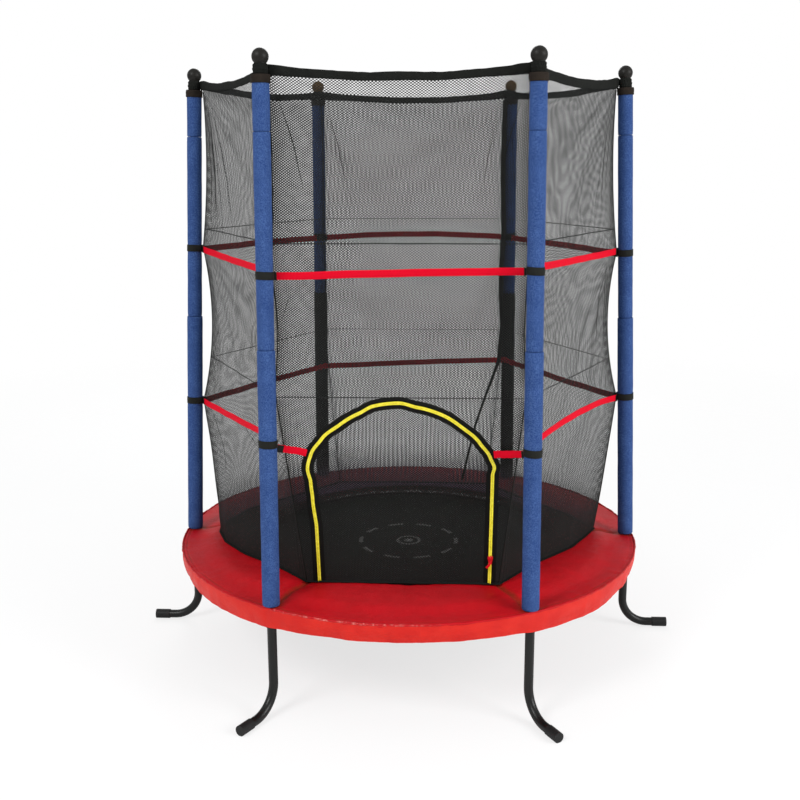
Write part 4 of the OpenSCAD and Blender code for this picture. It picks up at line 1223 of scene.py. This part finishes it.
def pad_ring():
    """The sewn pad ring: six foam filled panels with valleys at the seams, and soft creases."""
    across = [r / 1000 for r in (*range(478, 680, 9), 680, 683, 685, 687, 689)]
    section = PAD_INNER + [(r, pad_top_at(r) - 0.0002) for r in across] + PAD_RIM
    section += [(r / 1000, PAD_Z + 0.0003) for r in range(670, 470, -25)]
    top_count = len(PAD_INNER) + len(across) + 3
    rows = []
    for t in angles(840):
        x = cos(t)
        y = sin(t)
        row = []
        run = 0.0
        for m, (r, z) in enumerate(section):
            if m:
                run += hypot(r - section[m - 1][0], z - section[m - 1][1])
            away = seam_gap(t) * r
            at_pole = bump(r - POLE_R, 0.030) * bump(away, 0.030)
            mark = 0.0
            if m < top_count and z > PAD_Z + 0.012:
                outer = bump(r - PAD_OUT, 0.035)
                seam = bump(r - PAD_SEAM_R, 0.0025)
                ruck = 0.0012 * spot((x * r, y * r, 0), 11, 2) + 0.0007 * spot((x * r, y * r, 0), 34, 5)
                ruck += 0.0010 * outer * wander(t * 34, 6)
                ruck += 0.0009 * bump(r - PAD_IN, 0.03) * wander(t * 24, 7)
                ruck += 0.0016 * outer * bump(away, 0.06) * wander(t * 90, 9)
                valley = (0.0052 * bump(away, 0.0075) + 0.0022 * bump(away, 0.030)) * (1 - 0.9 * at_pole)
                z += clamp(ruck, -0.003, 0.0012) * (1 - at_pole) - valley - 0.0010 * seam
                # The mark is brown painted shade: in and round each seam's valley, round each pole's foot,
                # and along the groove of the stitched line near the outer edge.
                mark = 0.9 * bump(away, 0.010)
                mark += 0.40 * bump(away, 0.040) * (0.5 + 0.5 * wander(t * 60 + r * 40, 3))
                mark += 0.9 * seam * clamp(0.6 + 0.6 * wander(t * 12, 13))
                mark += 0.8 * bump(r - POLE_R, 0.034) * bump(away, 0.034)
            if r < 0.470:
                r += 0.0020 * bump(away, 0.012) + 0.0007 * wander(t * 20, 11)
            if r > 0.690:
                r -= 0.0022 * bump(away, 0.012) - 0.0006 * wander(t * 30, 12)
            row.append(((r * x, r * y, z), (t * 0.58, run), clamp(mark, -1, 1)))
        rows.append(row)
    shape = Shape().skin(rows, closed_rows=True, closed_cols=True)
    pad = settle(shape, "safety_pad_ring", pad_pvc, ["pad_cover", "pad_foam"])


def pad_welt():
    """The welt that joins the pad's top to its skirt, puckered by its stitching."""
    rows = []
    for t in angles(1500):
        away = seam_gap(t) * PAD_OUT
        pucker = wander(t * 62, 21)
        r = PAD_OUT - 0.0022 - 0.0020 * bump(away, 0.012) + 0.0006 * wander(t * 24, 22) + 0.0004 * pucker
        z = PAD_EDGE_Z - 0.0012 + 0.0007 * wander(t * 30, 23) - 0.0008 * bump(away, 0.02)
        size = 0.0029 + 0.0006 * pucker
        # Its mark: a dark line of painted shade along the welt, and towards the front pale painted highlights
        # on its puckers.
        mark = mix(0.45 + 0.25 * pucker, -0.8 - 0.2 * pucker, highlight_share(t))
        rows.append([(round_z(r + size * cos(a) * 0.9, t, z + size * sin(a)), (t * PAD_OUT, a * 0.002), mark)
                     for a in angles(10)])
    settle(Shape().skin(rows, closed_rows=True, closed_cols=True, flip=True), "pad_welt", pad_pvc)


def pad_skirt():
    """The skirt under the pad's outer edge, gathered, slack in two places and drawn in at its bottom hem."""
    rows = []
    for t in angles(1100):
        away = seam_gap(t) * PAD_OUT
        free = 1 - bump(away, 0.035)
        wave = wander(t * 13, 31) * 0.0024 + wander(t * 31, 32) * 0.0012 + wander(t * 80, 33) * 0.0003
        slack = sum(bump(degrees(t) - at, 17) for at in SLACK_AT)
        row = []
        for drop in (0.0, 0.002, 0.006, 0.012, 0.019, 0.026, 0.033, 0.039, 0.0435, 0.0465, 0.0485):
            share = drop / SKIRT_H
            r = PAD_OUT - 0.0008 - (0.0012 + 0.0053 * free) * ease(share) * share
            r += wave * free * ease(share * 1.2) + 0.0012 * sin(pi * share)
            r -= 0.0016 * bump(away, 0.010) * (1 - share)
            z = PAD_EDGE_Z - 0.002 - drop * (1 + 0.23 * slack + 0.02 * wander(t * 9, 34))
            # Its mark: painted shade at the seams, a pale painted highlight along its top that is strongest
            # at the front, and dark patches towards its bottom painted as the shade of its creases.
            mark = 0.3 * bump(away, 0.006) - 0.40 * (0.35 + 0.65 * highlight_share(t)) * bump(share, 0.12)
            mark += 0.30 * clamp(wander(t * 17, 35)) * share
            row.append((round_z(r, t, z), (t * PAD_OUT, drop), clamp(mark, -1, 1)))
        rows.append(row)
    skirt = settle(Shape().skin(rows, closed_rows=True, flip=True), "pad_skirt", skirt_pvc)


def pad_tie_loops():
    """Webbing loops round the frame's tube, taken up to the pad's underside."""
    shape = Shape()
    r = TUBE_R + 0.0011
    for i in range(6):
        for side in (-10, 10):
            t = radians(60 * (i + 0.5) + side)
            path = [round_z(FRAME_R + r * cos(a), t, FRAME_Z + r * sin(a) + (0.0012 if sin(a) > 0.6 else 0))
                    for a in angles(30)]
            shape.band(path, tangent(t), oval(0.020, 0.0013), closed=True)
    settle(shape, "pad_tie_loops", band_black, ["pad_ties"], crease=50)


# ---------------------------------------------------------------- jumping mat

# Half the section of the binding folded over the mat's edge: from its inner edge out, on the upper face.
BINDING = [(-0.020, 0.0012), (-0.0195, 0.0022), (-0.010, 0.0024), (0, 0.0023), (0.0013, 0.0008)]


def belt(shape, t, near, near_r, far, far_r, thick, waist):
    """A band at angle t that goes round two round things and lies flat between them."""
    out = round_z(1, t)

    def bend(r, turn, first, steps):
        return [(r + turn * cos(a), turn * sin(a)) for a in (first + pi * s for s in shares(steps))]

    def flat(sign, steps):
        return [(mix(near, far, s / 8), sign * mix(mix(near_r, far_r, s / 8), waist, sin(pi * s / 8) ** 0.35))
                for s in steps]

    path = bend(near, near_r, pi / 2, 12) + flat(-1, range(1, 8))
    path += bend(far, far_r, -pi / 2, 16) + flat(1, range(7, 0, -1))
    shape.band([out * r + lift(FRAME_Z + z) for r, z in path], tangent(t), oval(0.010, thick), closed=True)


def mat_sector(k):
    """A twelfth of the mat, its bound edge, its three rings and elastic straps."""
    middle = TAU * (k + 0.5) / MAT_SECTORS
    half = TAU / MAT_SECTORS / 2

    def cloth_at(r, t):
        pull = 0.0006 * (r / MAT_R) ** 6 * cos(RINGS * t)
        return round_z(r, t, FRAME_Z + 0.0004 - pull), (r * cos(t), r * sin(t))

    radii = [0.0015, 0.03, 0.06] + [mix(0.09, MAT_R - 0.0006, c) for c in shares(20)]
    cloth = Shape().skin([[cloth_at(r, middle + mix(-half, half, c)) for c in shares(8)] for r in radii],
                         flip=True)
    section = BINDING + [(r, -h) for r, h in BINDING[::-1]]
    edge = Shape().skin([[(round_z(MAT_R + r + 0.0003 * cos(RINGS * t), t, FRAME_Z + h),
                           (t * MAT_R, r + 0.010)) for r, h in section]
                         for t in (middle + mix(-half, half, c) for c in shares(18))], closed_cols=True)
    rings = Shape()
    elastics = Shape()
    for n in range(SECTOR_RINGS):
        t = radians(360 / RINGS * (SECTOR_RINGS * k + n + 0.5))
        belt(edge, t, RING_C - RING_R, BELT_R, MAT_R - 0.016, BELT_R, 0.0010, BELT_R)
        belt(elastics, t, RING_C + RING_R, BELT_R, FRAME_R, TUBE_R + 0.0011, 0.0012, 0.0009)
        centre = round_z(RING_C, t, FRAME_Z)
        rings.band([centre + (round_z(1, t) * cos(a) + tangent(t) * sin(a)) * RING_R for a in angles(28)],
                   lift(1), circle(WIRE_R, 10), closed=True)
    start = tuple(round_z(0.64, middle, FRAME_Z))
    end = tuple(round_z(0.12, middle, FRAME_Z))
    for shape, name, look, slot, node, crease in (
            (cloth, "mat_cloth", mat_cloth, "mat_fabric", "jump_mat", None),
            (edge, "mat_edge", hem_cloth, "black_webbing", "mat_hem", 55),
            (rings, "mat_rings", ring_zinc, "zinc", "mat_rings", 55),
            (elastics, "mat_elastics", elastic_cloth, "elastic", "elastic_straps", 55)):
        piece = settle(shape, f"{name}_{k}", look, [node], None, crease)
        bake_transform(piece)


# ---------------------------------------------------------------- camera, floor and light

def camera():
    """A view from in front and a little above, turned slightly left."""
    yaw = radians(-2.6066)
    pitch = radians(12.946)
    roll = radians(-0.1722)
    ahead = Vector((sin(yaw) * cos(pitch), cos(yaw) * cos(pitch), -sin(pitch)))
    right = Vector((cos(yaw), -sin(yaw), 0))
    right = right * cos(roll) + right.cross(ahead) * sin(roll)
    up = right.cross(ahead)
    lens = bpy.data.cameras.new("view")
    lens.sensor_fit = "HORIZONTAL"
    lens.sensor_width = 36
    lens.lens = 47.57
    lens.clip_end = 60
    eye = bpy.data.objects.new("view", lens)
    turn = Matrix((right, up, -ahead)).transposed()
    eye.matrix_world = Matrix.Translation((0.1183, -3.1573, 1.458)) @ turn.to_4x4()
    bpy.context.collection.objects.link(eye)
    bpy.context.scene.camera = eye


def floor():
    """A plain white floor that keeps the shadow and fades into a white background."""
    made = bpy.data.materials.new("floor_white")
    made.use_nodes = True
    tree = made.node_tree
    w = Wire(tree)
    shader = tree.nodes["Principled BSDF"]
    shader.inputs["Roughness"].default_value = 0.9
    shader.inputs["Specular IOR Level"].default_value = 0.0
    at = space_of(w)
    tone = at.noise(3, 3).blend((0.90, 0.90, 0.90), (0.92, 0.92, 0.92))
    tree.links.new(tone.socket, shader.inputs["Base Color"])
    x = at.axis(0)
    y = at.axis(1)
    far = (x * x + y * y).math("SQRT").over(2.2, 5.0)
    tree.links.new((1 - far).socket, shader.inputs["Alpha"])
    glow = w.node("Emission", None, {"Color": (1, 1, 1, 1), "Strength": 1.0})
    faded = w.node("MixShader", None, {0: far, 1: glow, 2: w.node("BsdfTransparent")})
    seen = w.node("LightPath", out="Is Camera Ray")
    both = w.node("MixShader", None, {0: seen * 0.72, 1: Wire(tree, shader.outputs[0]), 2: faded})
    tree.links.new(both.socket, tree.nodes["Material Output"].inputs["Surface"])
    shape = Shape()
    centre = shape.point((0, 0, 0))
    ring = [shape.point(round_z(6.0, a)) for a in angles(96)]
    shape.faces += [(centre, ring[k - 1], ring[k]) for k in range(96)]
    shape.made("floor", made, smooth=False)


def sky():
    """An even white background, softer as a light than it looks."""
    world = bpy.data.worlds.new("studio")
    world.use_nodes = True
    tree = world.node_tree
    tree.nodes.clear()
    w = Wire(tree)
    seen = w.node("LightPath", out="Is Camera Ray")
    through = w.node("LightPath", out="Is Transmission Ray")
    white = w.node("Background", None, {"Color": (1, 1, 1, 1), "Strength": 1.0})
    soft = w.node("Background", None, {"Color": (0.98, 0.99, 1.0, 1.0), "Strength": 0.62})
    both = w.node("MixShader", None, {0: (seen + through).over(0, 1), 1: soft, 2: white})
    end = tree.nodes.new("ShaderNodeOutputWorld")
    tree.links.new(both.socket, end.inputs["Surface"])
    bpy.context.scene.world = world


def lamp(name, place, aim_z, size, watts):
    data = bpy.data.lights.new(name, "AREA")
    data.shape = "DISK"
    data.size = size
    data.energy = watts
    made = bpy.data.objects.new(name, data)
    made.location = place
    made.rotation_euler = (lift(aim_z) - Vector(place)).to_track_quat("-Z", "Y").to_euler()
    bpy.context.collection.objects.link(made)


bpy.context.scene.view_settings.view_transform = "Standard"
dress_carried_nodes()
camera()
floor()
sky()
lamp("key", (-3.0, -3.8, 4.2), 0.7, 2.2, 175)
lamp("fill", (4.2, -2.4, 2.6), 0.8, 2.6, 170)
lamp("back", (-0.5, 4.2, 3.6), 0.9, 2.4, 70)
foam_sleeves()
for i in range(6):
    foam_collar(i)
    hem_loop(i)
for k, side in ((0, "right_back"), (1, "back"), (2, "left_back"), (3, "left_front"), (5, "right_front")):
    net_panel(k, f"net_{side}")
front_panel()
net_seams()
net_pleats()
net_foot_flap()
door_cloth()
zip_parts()
slider_and_pull()
top_hem()
bottom_hem()
back_tape()
straps()
for level, ties in (("low", LOWER_TIE), ("high", UPPER_TIE)):
    for i, z in enumerate(ties):
        pole_band(level, i, z)
pad_ring()
pad_welt()
pad_skirt()
pad_tie_loops()
for sector in range(MAT_SECTORS):
    mat_sector(sector)
